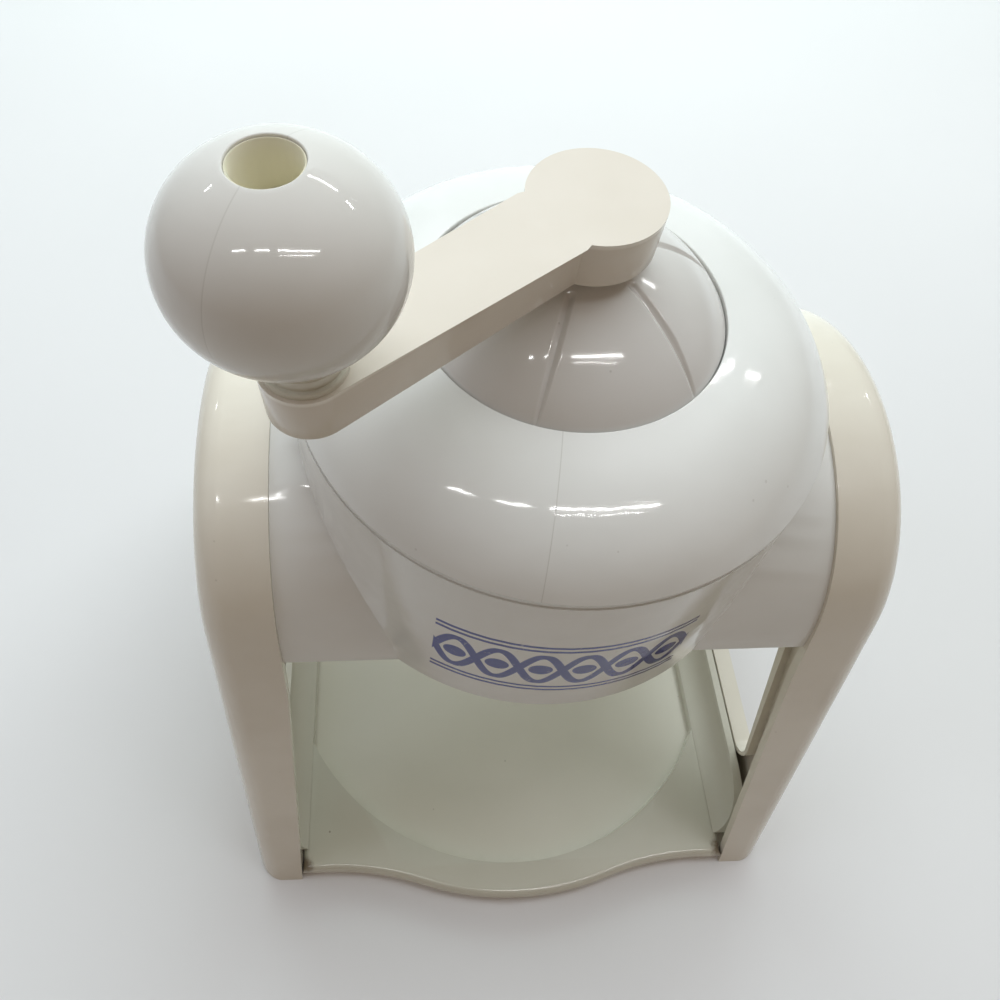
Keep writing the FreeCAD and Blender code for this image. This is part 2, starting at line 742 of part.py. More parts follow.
def lid_dome():
    body = new_body("dome")
    low = "rim_seat - dome_wall"
    wall_x = "dome_reach - dome_wall"
    bore = "shaft_radius + running_gap + bush_wall"
    turned(body, "dome_profile", [
        (bore, dome_height("dome_sphere", bore), "dome_sphere", -1), ("dome_reach", "dome_edge"),
        ("dome_reach", "rim_seat"), ("dome_reach + dome_flange", "rim_seat"),
        ("dome_reach + dome_flange", low), (wall_x, low),
        (wall_x, dome_height("dome_inner", wall_x), "dome_inner", 1),
        ("boss_radius", dome_height("dome_inner", "boss_radius")),
        ("boss_radius", "boss_end"), (bore, "boss_end")])
    groove = sketch_on(body, "XZ", "dome_groove")
    start = "boss_radius + 2 * groove_width"
    bed = "dome_sphere - groove_depth"
    outline(groove, [(start, dome_height(bed, start), bed, -1),
                     ("dome_reach", dome_height(bed, "dome_reach")),
                     ("dome_reach + groove_depth", "dome_apex + groove_depth"),
                     (start, "dome_apex + groove_depth")])
    groove_cut = cut_deep(body, groove, "groove_width", midplane=True)
    around(body, groove_cut, "groove_count")
    bind(body, Placement__Rotation__Angle="groove_turn")
    return keep(body, "lid_dome")


def shaft_bush():
    body = new_body("bush")
    inner = "shaft_radius + running_gap"
    turned(body, "bush_profile", [
        (inner, "boss_end"), (f"{inner} + bush_wall", "boss_end"),
        (f"{inner} + bush_wall", "dome_apex + side_gap"),
        (f"{inner} + 2 * bush_wall", "dome_apex + side_gap"),
        (f"{inner} + 2 * bush_wall", "dome_apex + side_gap + bush_flange"),
        (inner, "dome_apex + side_gap + bush_flange")])
    return keep(body, "shaft_bush")


# Drive line: shaft, clip and spring seat under the dome, and the ring that keeps the presser on
def drive_shaft():
    body = new_body("shaft")
    neck, end = "washer_level - washer_thick", "hub_bottom + shaft_grip"
    turned(body, "shaft_profile", [("0", neck), ("shaft_radius", neck), ("shaft_radius", end), ("0", end)])
    square = sketch_on(body, "XY", "shaft_flats")
    half = "shaft_square / 2"
    outline(square, [(f"-{half}", f"-{half}"), (half, f"-{half}"), (half, half), (f"-{half}", half)])
    square.setExpression("AttachmentOffset.Base.z", linked("stop_top"))
    pad(body, square, f"{neck} - stop_top")
    tip = sketch_on(body, "XY", "shaft_tip")
    ring_line(tip, "0", "0", "shaft_tip_radius")
    tip.setExpression("AttachmentOffset.Base.z", linked("stop_top - shaft_tip_length"))
    pad(body, tip, "shaft_tip_length")
    bind(body, Placement__Rotation__Angle="crank_turn")
    return keep(body, "drive_shaft")


def ring(name, node, inner, outer, height, level):
    disc = cylinder(name + "_disc", outer, height, z=level)
    hole = cylinder(name + "_hole", inner, height, z=level)
    return keep(cut(name, disc, hole), node)


def shaft_rings():
    ring("clip", "shaft_clip", "shaft_radius", "shaft_radius + clip_width", "clip_thick",
         "clip_top - clip_thick")
    ring("washer", "spring_seat", "shaft_radius", "washer_radius", "washer_thick", "washer_level")
    ring("stop", "presser_stop", "shaft_tip_radius", "stop_radius", "stop_thick", "stop_top - stop_thick")


# Pressure spring: one wire along a helix, each quarter turn a pair of arcs with one tangent
def arc_edge(start, tangent, stop):
    chord = stop - start
    along = FreeCAD.Vector(chord).normalize()
    lift = tangent - along * tangent.dot(along)
    angle = math.atan2(lift.Length, tangent.dot(along))
    middle = (start + stop) / 2 + lift.normalize() * chord.Length / 2 * math.tan(angle / 2)
    return Part.Arc(start, middle, stop).toShape()


def arc_pair(start, tangent, stop, end_tangent):
    chord = stop - start
    both = chord.dot(tangent + end_tangent)
    spread = 2 * (1 - tangent.dot(end_tangent))
    reach = (math.sqrt(both ** 2 + spread * chord.dot(chord)) - both) / spread
    joint = (start + tangent * reach + stop - end_tangent * reach) / 2
    back = arc_edge(stop, -end_tangent, joint)
    return [arc_edge(start, tangent, joint), back]


def helix_point(radius, low, pitch, turn):
    angle = 2 * math.pi * turn
    return FreeCAD.Vector(radius * math.cos(angle), radius * math.sin(angle), low + pitch * turn)


def helix_tangent(radius, pitch, turn):
    angle = 2 * math.pi * turn
    rise = pitch / (2 * math.pi)
    return FreeCAD.Vector(-radius * math.sin(angle), radius * math.cos(angle), rise).normalize()


def pressure_spring():
    radius, wire = number("spring_radius"), number("spring_wire")
    low = number("presser_level + presser_thick + presser_hub_height + side_gap") + wire
    high = number("washer_level - side_gap") - wire
    turns = number("spring_turns")
    pitch = (high - low) / turns
    quarters = int(round(4 * turns))
    edges = []
    for step in range(quarters):
        first, last = turns * step / quarters, turns * (step + 1) / quarters
        edges += arc_pair(helix_point(radius, low, pitch, first), helix_tangent(radius, pitch, first),
                          helix_point(radius, low, pitch, last), helix_tangent(radius, pitch, last))
    path = Part.Wire(Part.__sortEdges__(edges))
    start = helix_point(radius, low, pitch, 0)
    circle = Part.Circle(start, helix_tangent(radius, pitch, 0), wire)
    shell = Part.BRepOffsetAPI.MakePipeShell(path)
    shell.add(Part.Wire([circle.toShape()]))
    shell.build()
    shell.makeSolid()
    item = doc.addObject("Part::Feature", "spring_wire_body")
    item.Shape = shell.shape()
    steps = 48
    points = [helix_point(radius, low, pitch, step / steps) for step in range(int(steps * turns) + 1)]
    gap = min((first - last).Length for index, first in enumerate(points)
              for last in points[index + steps // 2:])
    print(f"spring: {turns:g} turns, least gap between turns {gap - 2 * wire:.2f} mm")
    return keep(item, "pressure_spring")


# Crank: a keyhole shaped arm on the hub, with the knob's pin at its end
def on_crank(item, out, level):
    return bind(item, Placement__Base__x=f"{out} * cos(crank_turn)",
                Placement__Base__y=f"{out} * sin(crank_turn)",
                Placement__Base__z=level, Placement__Rotation__Angle="crank_turn")


def crank_arm():
    body = new_body("crank")
    profile = sketch_on(body, "XY", "crank_outline")
    half = "arm_width / 2"
    neck = f"sqrt(hub_radius ^ 2 - ({half}) ^ 2)"
    outline(profile, [(neck, f"-{half}"), ("arm_length", f"-{half}", half, 1),
                      (f"arm_length + {half}", "0", half, 1), ("arm_length", half),
                      (neck, half, "hub_radius", 1), ("-hub_radius", "0", "hub_radius", 1)])
    pad(body, profile, "arm_thick")
    rounded(body, level_with("arm_thick"), "arm_round", "crank_top_round")
    bore = sketch_on(body, "XY", "crank_bore")
    ring_line(bore, "0", "0", "shaft_radius")
    cut_deep(body, bore, "shaft_grip", flip=True)
    seat = sketch_on(body, "XY", "pin_seat")
    ring_line(seat, "arm_length", "0", "pin_radius")
    seat.setExpression("AttachmentOffset.Base.z", linked("arm_thick"))
    cut_deep(body, seat, "pin_bite")
    on_crank(body, "0", "hub_bottom")
    return keep(body, "crank_arm")


def knob_collar():
    body = new_body("collar")
    turned(body, "collar_profile", [
        ("pin_radius", "0"), ("collar_radius", "0"), ("collar_radius", "collar_step"),
        ("collar_neck", "collar_step"), ("collar_neck", "collar_height"), ("pin_radius", "collar_height")])
    return keep(on_crank(body, "arm_length", "knob_level"), "knob_collar")


def knob_pin():
    body = new_body("pin")
    head, cup = "knob_bore - running_gap", "ball_middle + ball_half - pin_head_sink"
    low = "bore_floor + knob_gap"
    turned(body, "pin_profile", [
        ("0", "-pin_bite"), ("pin_radius", "-pin_bite"), ("pin_radius", low), (head, low), (head, cup),
        (f"{head} - pin_cup_wall", cup), (f"{head} - pin_cup_wall", f"{low} + pin_cup_floor"),
        ("0", f"{low} + pin_cup_floor")])
    return keep(on_crank(body, "arm_length", "knob_level"), "knob_pin")


def knob_ball():
    ball = doc.addObject("Part::Ellipsoid", "ball_form")
    bind(ball, Radius1="ball_half", Radius2="ball_radius", Radius3="ball_radius",
         Placement__Base__z="ball_middle")
    bores = [cylinder("ball_bore", "pin_radius + running_gap", "2 * ball_radius", z="ball_low"),
             cylinder("ball_mouth", "knob_bore", "2 * knob_bore_depth", z="bore_floor"),
             cylinder("ball_foot", "ball_radius", "ball_radius", z="ball_low - ball_radius")]
    drilled = cut("ball", ball, fuse("ball_bores", bores))
    return keep(on_crank(drilled, "arm_length", "knob_level"), "knob_ball")


# Presser: a ribbed disc that slides on the shaft's flats, with spikes that grip the ice
def presser_disc():
    body = new_body("presser")
    top = "presser_level + presser_thick"
    turned(body, "presser_profile", [("0", "presser_level"), ("presser_radius", "presser_level"),
                                     ("presser_radius", top), ("presser_hub_radius", top),
                                     ("presser_hub_radius", f"{top} + presser_hub_height"),
                                     ("0", f"{top} + presser_hub_height")])
    rib = sketch_on(body, "XY", "presser_rib_line")
    reach = "presser_radius - presser_rib"
    outline(rib, [("presser_hub_radius - presser_rib", "-presser_rib / 2"), (reach, "-presser_rib / 2"),
                  (reach, "presser_rib / 2"), ("presser_hub_radius - presser_rib", "presser_rib / 2")])
    rib.setExpression("AttachmentOffset.Base.z", linked(top))
    rib_pad = pad(body, rib, "presser_rib_height")
    doc.recompute()
    around(body, rib_pad, "presser_rib_count")
    hole = sketch_on(body, "XY", "presser_square")
    half = "(shaft_square / 2 + square_gap)"
    outline(hole, [(f"-{half}", f"-{half}"), (half, f"-{half}"), (half, half), (f"-{half}", half)])
    cut_through(body, hole)
    bind(body, Placement__Rotation__Angle="crank_turn")
    return keep(body, "presser_disc")


def presser_spikes():
    spikes = []
    full = number("spike_count")
    for place, count in (("spike_ring", full), ("inner_spike_ring", full / 2)):
        for index in range(int(count)):
            turn = 360 * (index + 0.5) / count
            spike = doc.addObject("Part::Cone", f"{place}_{index + 1}")
            bind(spike, Radius1="spike_tip", Radius2="spike_radius", Height="spike_length",
                 Placement__Base__x=f"{place} * cos({turn})", Placement__Base__y=f"{place} * sin({turn})",
                 Placement__Base__z="presser_level - spike_length")
            spikes.append(spike)
    return keep(group("spikes", spikes), "presser_spikes")


for side in ("left", "right"):
    side_panel(side)
base_tray()
rubber_feet()
housing()
ice_chamber()
blade()
blade_holder()
screws()
lid_ring()
lid_dome()
shaft_bush()
drive_shaft()
shaft_rings()
pressure_spring()
crank_arm()
knob_collar()
knob_pin()
knob_ball()
presser_disc()
presser_spikes()
doc.recompute()

for item in doc.Objects:
    if "Invalid" in item.State or "Error" in item.State:
        raise ValueError(f"{item.Name} failed: {item.State}")
for node, item in nodes.items():
    if item.Shape.isNull() or not item.Shape.isValid():
        raise ValueError(f"{node} has no valid shape")

os.makedirs("parts", exist_ok=True)
for node, item in nodes.items():
    item.Shape.exportStep(f"parts/{node}.step")
print(f"{len(nodes)} nodes written")
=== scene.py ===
import bpy
import bmesh
import math
from mathutils import Matrix, Vector


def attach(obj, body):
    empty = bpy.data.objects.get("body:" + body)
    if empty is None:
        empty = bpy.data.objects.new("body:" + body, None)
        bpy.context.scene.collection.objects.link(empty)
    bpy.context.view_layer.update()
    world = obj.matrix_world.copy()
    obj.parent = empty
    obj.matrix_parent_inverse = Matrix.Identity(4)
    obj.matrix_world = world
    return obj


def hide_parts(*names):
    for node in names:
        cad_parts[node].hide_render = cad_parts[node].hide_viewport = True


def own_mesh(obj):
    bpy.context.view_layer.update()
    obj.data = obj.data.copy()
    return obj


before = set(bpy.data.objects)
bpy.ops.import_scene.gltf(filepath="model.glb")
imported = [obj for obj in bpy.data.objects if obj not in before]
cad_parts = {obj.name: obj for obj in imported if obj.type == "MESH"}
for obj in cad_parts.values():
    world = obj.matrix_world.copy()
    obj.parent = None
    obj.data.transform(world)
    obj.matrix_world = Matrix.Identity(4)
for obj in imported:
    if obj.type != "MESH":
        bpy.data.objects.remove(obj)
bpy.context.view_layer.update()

# The base tray is one moulding in greenish ivory plastic: a sunken floor between two wavy decks,
# with flanks that rise into the side panels. It carries everything else and sits on four pads.
MM = 0.001


def put(tree, kind, sockets=None, **settings):
    made = tree.nodes.new(kind)
    for key, value in settings.items():
        setattr(made, key, value)
    for key, value in (sockets or {}).items():
        if isinstance(value, bpy.types.NodeSocket):
            tree.links.new(value, made.inputs[key])
        else:
            made.inputs[key].default_value = value
    return made


def effect(name, inputs, outputs):
    tree = bpy.data.node_groups.new(name, "ShaderNodeTree")
    for label, value in inputs.items():
        socket = tree.interface.new_socket(name=label, in_out="INPUT", socket_type="NodeSocketFloat")
        socket.default_value = value
    for label in outputs:
        tree.interface.new_socket(name=label, in_out="OUTPUT", socket_type="NodeSocketFloat")
    given = tree.nodes.new("NodeGroupInput")
    result = tree.nodes.new("NodeGroupOutput")
    return tree, given.outputs, result.inputs


def between(tree, value, low, high, start=0.0, end=1.0):
    ramp = put(tree, "ShaderNodeMapRange", {0: value, 1: low, 2: high, 3: start, 4: end},
               interpolation_type="SMOOTHSTEP")
    return ramp.outputs[0]


def maths(tree, operation, *values):
    return put(tree, "ShaderNodeMath", dict(enumerate(values)), operation=operation).outputs[0]


def object_place(tree):
    return put(tree, "ShaderNodeTexCoord").outputs["Object"]


# Moulded skin: broad tone drift, a faint ripple and fine rubbing marks
TONE_BAND, MARK_BAND, MARK_DEPTH = (0.36, 0.66), (0.6, 0.74), 0.25
tree, given, result = effect("moulded skin", {"Tone Size": 26.0, "Ripple Size": 210.0, "Rubbing": 0.3},
                             ["Tone", "Rubbed", "Height"])
place = object_place(tree)
drift = put(tree, "ShaderNodeTexNoise", {"Vector": place, "Scale": given["Tone Size"], "Detail": 3.0})
tree.links.new(between(tree, drift.outputs[0], *TONE_BAND), result["Tone"])
stretched = put(tree, "ShaderNodeMapping", {"Vector": place, "Rotation": (0.4, 0.9, 0.3),
                                            "Scale": (1.0, 9.0, 2.0)})
threads = put(tree, "ShaderNodeTexNoise", {"Vector": stretched.outputs[0], "Scale": 160.0, "Detail": 5.0,
                                           "Roughness": 0.75, "Distortion": 0.6})
marks = between(tree, threads.outputs[0], *MARK_BAND)
rubbed = maths(tree, "MULTIPLY", marks, given["Rubbing"])
tree.links.new(rubbed, result["Rubbed"])
ripple = put(tree, "ShaderNodeTexNoise", {"Vector": place, "Scale": given["Ripple Size"], "Detail": 1.5})
worn = maths(tree, "MULTIPLY", rubbed, MARK_DEPTH)
tree.links.new(maths(tree, "SUBTRACT", ripple.outputs[0], worn), result["Height"])
moulded_skin = tree

# Painted shade and grime: the inner corners of the same piece darkened by its own occlusion, broken up by
# noise
CREASE_SHADE_BAND, CREASE_SHADE_GATHERS = (0.34, 0.62), 1.6
tree, given, result = effect("corner shade and smudges", {"Reach": 3 * MM, "Amount": 0.5}, ["Mask"])
open_air = put(tree, "ShaderNodeAmbientOcclusion", {"Distance": given["Reach"]}, samples=8, only_local=True)
closed = maths(tree, "POWER", maths(tree, "SUBTRACT", 1.0, open_air.outputs["AO"]), CREASE_SHADE_GATHERS)
patches = put(tree, "ShaderNodeTexNoise", {"Vector": object_place(tree), "Scale": 90.0, "Detail": 5.0,
                                           "Roughness": 0.7})
uneven = between(tree, patches.outputs[0], *CREASE_SHADE_BAND)
# The mask paints shade where the piece occludes itself, broken up by noise like grime
dirt = maths(tree, "MULTIPLY", maths(tree, "MULTIPLY", closed, uneven), given["Amount"])
tree.links.new(dirt, result["Mask"])
corner_shade_and_grime = tree

# Specks: tiny dark spots scattered thinly over the surface, one in a few of the noise's cells
CLEAN_CELLS, SPECK_REACH = 0.94, 0.13
tree, given, result = effect("dirt specks", {"Size": 330.0, "Amount": 0.5}, ["Mask"])
cells = put(tree, "ShaderNodeTexVoronoi", {"Vector": object_place(tree), "Scale": given["Size"],
                                           "Randomness": 1.0})
picked = put(tree, "ShaderNodeSeparateColor", {0: cells.outputs["Color"]})
few = maths(tree, "GREATER_THAN", picked.outputs[0], CLEAN_CELLS)
spot_size = maths(tree, "MULTIPLY", picked.outputs[1], SPECK_REACH)
spot = maths(tree, "LESS_THAN", cells.outputs["Distance"], spot_size)
tree.links.new(maths(tree, "MULTIPLY", maths(tree, "MULTIPLY", few, spot), given["Amount"]), result["Mask"])
dirt_specks = tree


def tinted(tree, mask, below, above):
    mixed = put(tree, "ShaderNodeMix", {0: mask, 6: below, 7: above}, data_type="RGBA")
    return mixed.outputs[2]


def use(tree, shared, **values):
    made = put(tree, "ShaderNodeGroup", node_tree=shared)
    for key, value in values.items():
        made.inputs[key.replace("_", " ").title()].default_value = value
    return made.outputs


def blank_material(name):
    material = bpy.data.materials.new(name)
    material.use_nodes = True
    tree = material.node_tree
    return material, tree, tree.nodes["Principled BSDF"].inputs


def embossed(tree, surface, height, strength, distance):
    relief = put(tree, "ShaderNodeBump", {"Strength": strength, "Distance": distance, "Height": height})
    tree.links.new(relief.outputs[0], surface["Normal"])


DIRT_AND_SHADE_BROWN = (0.16, 0.12, 0.07)
RUB_DULLS, CREASE_DULLS, RIPPLE = 0.35, 0.4, 0.05


# Injection moulded plastic in two near tones, with painted shade and grime in inner corners, specks, gloss
# and a slight ripple
def moulded_plastic(name, light, deep, gloss, rubbing=0.3, shade_and_grime=0.5, reach=3 * MM, specks=0.3):
    material, tree, surface = blank_material(name)
    skin = use(tree, moulded_skin, rubbing=rubbing)
    crease_shade_and_grime = use(tree, corner_shade_and_grime, reach=reach, amount=shade_and_grime)
    dots = use(tree, dirt_specks, amount=specks)
    colour = tinted(tree, skin["Tone"], (*deep, 1), (*light, 1))
    # Painted shade: the occluded inner corners turn dark brown, broken up like grime; the specks are real
    # dirt
    colour = tinted(tree, crease_shade_and_grime["Mask"], colour, (*DIRT_AND_SHADE_BROWN, 1))
    colour = tinted(tree, dots["Mask"], colour, (*DIRT_AND_SHADE_BROWN, 1))
    tree.links.new(colour, surface["Base Color"])
    dulled = maths(tree, "ADD", maths(tree, "MULTIPLY", skin["Rubbed"], RUB_DULLS),
                   maths(tree, "MULTIPLY", crease_shade_and_grime["Mask"], CREASE_DULLS))
    tree.links.new(maths(tree, "ADD", dulled, gloss), surface["Roughness"])
    embossed(tree, surface, skin["Height"], RIPPLE, 1 * MM)
    surface["IOR"].default_value = 1.5
    return material


# Lays a share of one more colour over a finished plastic, under the same gloss
def laid_over(material, mask, colour, share=1.0):
    tree = material.node_tree
    surface = tree.nodes["Principled BSDF"].inputs
    below = surface["Base Color"].links[0].from_socket
    thin = maths(tree, "MULTIPLY", mask, share)
    tree.links.new(tinted(tree, thin, below, (*colour, 1)), surface["Base Color"])


def finished(name, skin, mesh, sharp):
    skin.to_mesh(mesh)
    skin.free()
    mesh.shade_smooth()
    mesh.set_sharp_from_angle(angle=math.radians(sharp))
    piece = bpy.data.objects.new(name, mesh)
    bpy.context.scene.collection.objects.link(piece)
    return piece


EASED_FROM = math.radians(34)


def soften(piece, ease, steps):
    bevel = piece.modifiers.new("eased edges", "BEVEL")
    bevel.width = ease
    bevel.segments = steps
    bevel.limit_method = "ANGLE"
    bevel.angle_limit = EASED_FROM
    bevel.use_clamp_overlap = True
    bevel.harden_normals = True


WELD, FLAT_WITHIN = 0.001 * MM, math.radians(0.3)


# A moulded piece over its solid: one merged skin whose edges are eased as a mould leaves them
def eased(node, name, ease, steps=2):
    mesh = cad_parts[node].data.copy()
    mesh.name = name
    mesh.materials.clear()
    skin = bmesh.new()
    skin.from_mesh(mesh)
    bmesh.ops.remove_doubles(skin, verts=skin.verts, dist=WELD)
    bmesh.ops.dissolve_limit(skin, angle_limit=FLAT_WITHIN, verts=skin.verts, edges=skin.edges)
    piece = finished(name, skin, mesh, 28)
    soften(piece, ease, steps)
    return piece


def object_axes(tree):
    return put(tree, "ShaderNodeSeparateXYZ", {0: object_place(tree)}).outputs


def distance_of(tree, across, along):
    squares = [maths(tree, "MULTIPLY", side, side) for side in (across, along)]
    return maths(tree, "SQRT", maths(tree, "ADD", *squares))


TRAY_LIGHT = (0.625, 0.60, 0.52)
TRAY_DEEP = (0.59, 0.567, 0.483)
FLOOR_PAINTED_LIGHT = (0.87, 0.84, 0.745)
LIGHT_PAINTED_BELOW, LIGHT_PAINT_ENDS, LIGHT_PAINT_SHARE = 4.1 * MM, 6.5 * MM, 0.45
CORNER_DIRT = (0.13, 0.085, 0.045)
CORNER_X, CORNER_Y = 72.2 * MM, 92.0 * MM
DIRT_WITHIN, DIRT_ENDS, DIRT_SPREAD, DIRT_SHARE = 3.5 * MM, 6.5 * MM, 5 * MM, 0.85
tray = eased("base_tray", "tray", 0.35 * MM)
tray_plastic = moulded_plastic("greenish ivory plastic", TRAY_LIGHT, TRAY_DEEP, 0.13,
                               rubbing=0.5, shade_and_grime=0.55, reach=4 * MM, specks=0.5)
# Painted light: the sunken floor is painted paler than the decks, standing in for the extra light it gets
tree = tray_plastic.node_tree
x, y, height = object_axes(tree)
laid_over(tray_plastic, between(tree, height, LIGHT_PAINTED_BELOW, LIGHT_PAINT_ENDS, 1.0, 0.0), FLOOR_PAINTED_LIGHT, LIGHT_PAINT_SHARE)
# Brown dirt sits where the decks' corners meet the panels' legs
off_x = maths(tree, "SUBTRACT", maths(tree, "ABSOLUTE", x), CORNER_X)
off_y = maths(tree, "SUBTRACT", maths(tree, "ABSOLUTE", y), CORNER_Y)
blots = put(tree, "ShaderNodeTexNoise", {"Vector": object_place(tree), "Scale": 380.0, "Detail": 4.0,
                                         "Roughness": 0.7})
ragged = maths(tree, "ADD", distance_of(tree, off_x, off_y),
               maths(tree, "MULTIPLY", blots.outputs[0], DIRT_SPREAD))
laid_over(tray_plastic, between(tree, ragged, DIRT_WITHIN, DIRT_ENDS, 1.0, 0.0), CORNER_DIRT, DIRT_SHARE)
tray.data.materials.append(tray_plastic)
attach(tray, "base")
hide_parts("base_tray")

# Four round pads of matt grey rubber are glued into sockets in the tray's underside.
# They are die cut from sheet, so their rims are plain and their faces hold dust.
RUBBER_DEEP, RUBBER_LIGHT = (0.055, 0.055, 0.057, 1), (0.085, 0.084, 0.082, 1)
RUBBER_DUST, MATT, MATT_DRIFT = (0.2, 0.19, 0.18, 1), 0.72, 0.1
rubber, tree, surface = blank_material("matt grey rubber")
skin = use(tree, moulded_skin, tone_size=60.0, ripple_size=900.0, rubbing=0.8)
clean = tinted(tree, skin["Tone"], RUBBER_DEEP, RUBBER_LIGHT)
tree.links.new(tinted(tree, skin["Rubbed"], clean, RUBBER_DUST), surface["Base Color"])
matt = maths(tree, "ADD", maths(tree, "MULTIPLY", skin["Tone"], MATT_DRIFT), MATT)
tree.links.new(matt, surface["Roughness"])
embossed(tree, surface, skin["Height"], 0.25, 0.3 * MM)
pads = eased("rubber_feet", "pads", 0.2 * MM)
pads.data.materials.append(rubber)
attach(pads, "base")
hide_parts("rubber_feet")

# Two side panels stand on the tray: shells of glossy yellowed ivory plastic, open to the middle,
# with a wide window between the legs. Their outer edges roll over, and their inner corners carry painted
# shade and grime.
PANEL_LIGHT = (0.755, 0.705, 0.62)
PANEL_DEEP = (0.705, 0.65, 0.56)
panel_plastic = moulded_plastic("yellowed ivory plastic", PANEL_LIGHT, PANEL_DEEP, 0.09,
                                rubbing=0.35, shade_and_grime=0.45, reach=3 * MM, specks=0.15)
for side in ("left", "right"):
    panel = eased(f"{side}_side_panel", f"{side}_panel", 0.45 * MM, 3)
    panel.data.materials.append(panel_plastic)
    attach(panel, "base")
    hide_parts(f"{side}_side_panel")

# Self tapping screws of zinc plated steel hold the tray to the panels and the drum to its posts.
# Each has a chamfered pan head with a cross recess, and its head lies against the plastic.
FOG_BAND, GRAIN_SPREAD = (0.35, 0.65), 0.22


def brushed_steel(name, bright, dull, streak, roughness):
    material, tree, surface = blank_material(name)
    place = object_place(tree)
    drawn = put(tree, "ShaderNodeMapping", {"Vector": place, "Scale": streak})
    grain = put(tree, "ShaderNodeTexNoise", {"Vector": drawn.outputs[0], "Scale": 700.0, "Detail": 4.0})
    fogged = put(tree, "ShaderNodeTexNoise", {"Vector": place, "Scale": 120.0, "Detail": 3.0})
    tone = tinted(tree, between(tree, fogged.outputs[0], *FOG_BAND), (*dull, 1), (*bright, 1))
    tree.links.new(tone, surface["Base Color"])
    surface["Metallic"].default_value = 1.0
    spread = maths(tree, "MULTIPLY", grain.outputs[0], GRAIN_SPREAD)
    tree.links.new(maths(tree, "ADD", spread, roughness), surface["Roughness"])
    embossed(tree, surface, grain.outputs[0], 0.12, 0.1 * MM)
    return material


ZINC_BRIGHT = (0.66, 0.66, 0.64)
ZINC_DULL = (0.44, 0.44, 0.43)
zinc = brushed_steel("zinc plated steel", ZINC_BRIGHT, ZINC_DULL, (1, 1, 1), 0.26)


# A node tree that sets one shape on each of its places, with named inputs for the shape's sizes
def shape_tree(name, sizes):
    tree = bpy.data.node_groups.new(name, "GeometryNodeTree")
    for label, kind in {"Places": "Geometry", **sizes, "Metal": "Material"}.items():
        tree.interface.new_socket(name=label, in_out="INPUT", socket_type=f"NodeSocket{kind}")
    tree.interface.new_socket(name="Shapes", in_out="OUTPUT", socket_type="NodeSocketGeometry")
    return tree, tree.nodes.new("NodeGroupInput").outputs


def planted(tree, given, shape, **turning):
    many = put(tree, "GeometryNodeInstanceOnPoints",
               {"Points": given["Places"], "Instance": shape, **turning})
    real = put(tree, "GeometryNodeRealizeInstances", {0: many.outputs[0]})
    coated = put(tree, "GeometryNodeSetMaterial", {"Geometry": real.outputs[0], "Material": given["Metal"]})
    put(tree, "NodeGroupOutput", {0: coated.outputs[0]})


def triple(tree, x=0.0, y=0.0, z=0.0):
    return put(tree, "ShaderNodeCombineXYZ", {0: x, 1: y, 2: z}).outputs[0]


def raised(tree, shape, rise):
    moved = put(tree, "GeometryNodeTransform", {"Geometry": shape, "Translation": triple(tree, z=rise)})
    return moved.outputs[0]


# One screw, head down at its place, with a recess of two crossed bars cut into its head
CHAMFERED_RIM, RECESS_LONG, RECESS_WIDE = 0.72, 1.15, 0.24
screw_tree, given = shape_tree("pan head screws", {"Head Radius": "Float", "Head Height": "Float",
                                                   "Shank Radius": "Float", "Shank Length": "Float",
                                                   "Turn": "Vector"})
rim, slot_long, slot_wide = (maths(screw_tree, "MULTIPLY", given["Head Radius"], share)
                             for share in (CHAMFERED_RIM, RECESS_LONG, RECESS_WIDE))
half_head, half_shank = (maths(screw_tree, "MULTIPLY", given[label], 0.5)
                         for label in ("Head Height", "Shank Length"))
head = put(screw_tree, "GeometryNodeMeshCone", {"Vertices": 36, "Radius Top": given["Head Radius"],
                                                "Radius Bottom": rim, "Depth": given["Head Height"]})
slots = put(screw_tree, "GeometryNodeJoinGeometry")
for wide, deep in ((slot_long, slot_wide), (slot_wide, slot_long)):
    size = triple(screw_tree, wide, deep, given["Head Height"])
    bar = put(screw_tree, "GeometryNodeMeshCube", {"Size": size})
    screw_tree.links.new(bar.outputs[0], slots.inputs[0])
recessed = put(screw_tree, "GeometryNodeMeshBoolean", {0: head.outputs[0], 1: slots.outputs[0]},
               operation="DIFFERENCE", solver="EXACT")
shank = put(screw_tree, "GeometryNodeMeshCylinder", {"Vertices": 20, "Radius": given["Shank Radius"],
                                                     "Depth": given["Shank Length"]})
whole = put(screw_tree, "GeometryNodeJoinGeometry")
on_its_end = raised(screw_tree, shank.outputs[0], half_shank)
screw_tree.links.new(raised(screw_tree, on_its_end, given["Head Height"]), whole.inputs[0])
screw_tree.links.new(raised(screw_tree, recessed.outputs[0], half_head), whole.inputs[0])
planted(screw_tree, given, whole.outputs[0], Rotation=given["Turn"])


# Runs a node tree on a few points and keeps the outcome as one plain mesh
def grown(name, tree, places, values):
    seed = bpy.data.meshes.new(name + "_places")
    seed.from_pydata(places, [], [])
    holder = bpy.data.objects.new(name, seed)
    bpy.context.scene.collection.objects.link(holder)
    work = holder.modifiers.new("grown", "NODES")
    work.node_group = tree
    for item in tree.interface.items_tree:
        if item.in_out == "INPUT" and item.name in values:
            work[item.identifier] = values[item.name]
    bpy.context.view_layer.update()
    graph = bpy.context.evaluated_depsgraph_get()
    mesh = bpy.data.meshes.new_from_object(holder.evaluated_get(graph), depsgraph=graph)
    mesh.name = name
    holder.modifiers.remove(work)
    holder.data = mesh
    mesh.set_sharp_from_angle(angle=math.radians(30))
    return holder


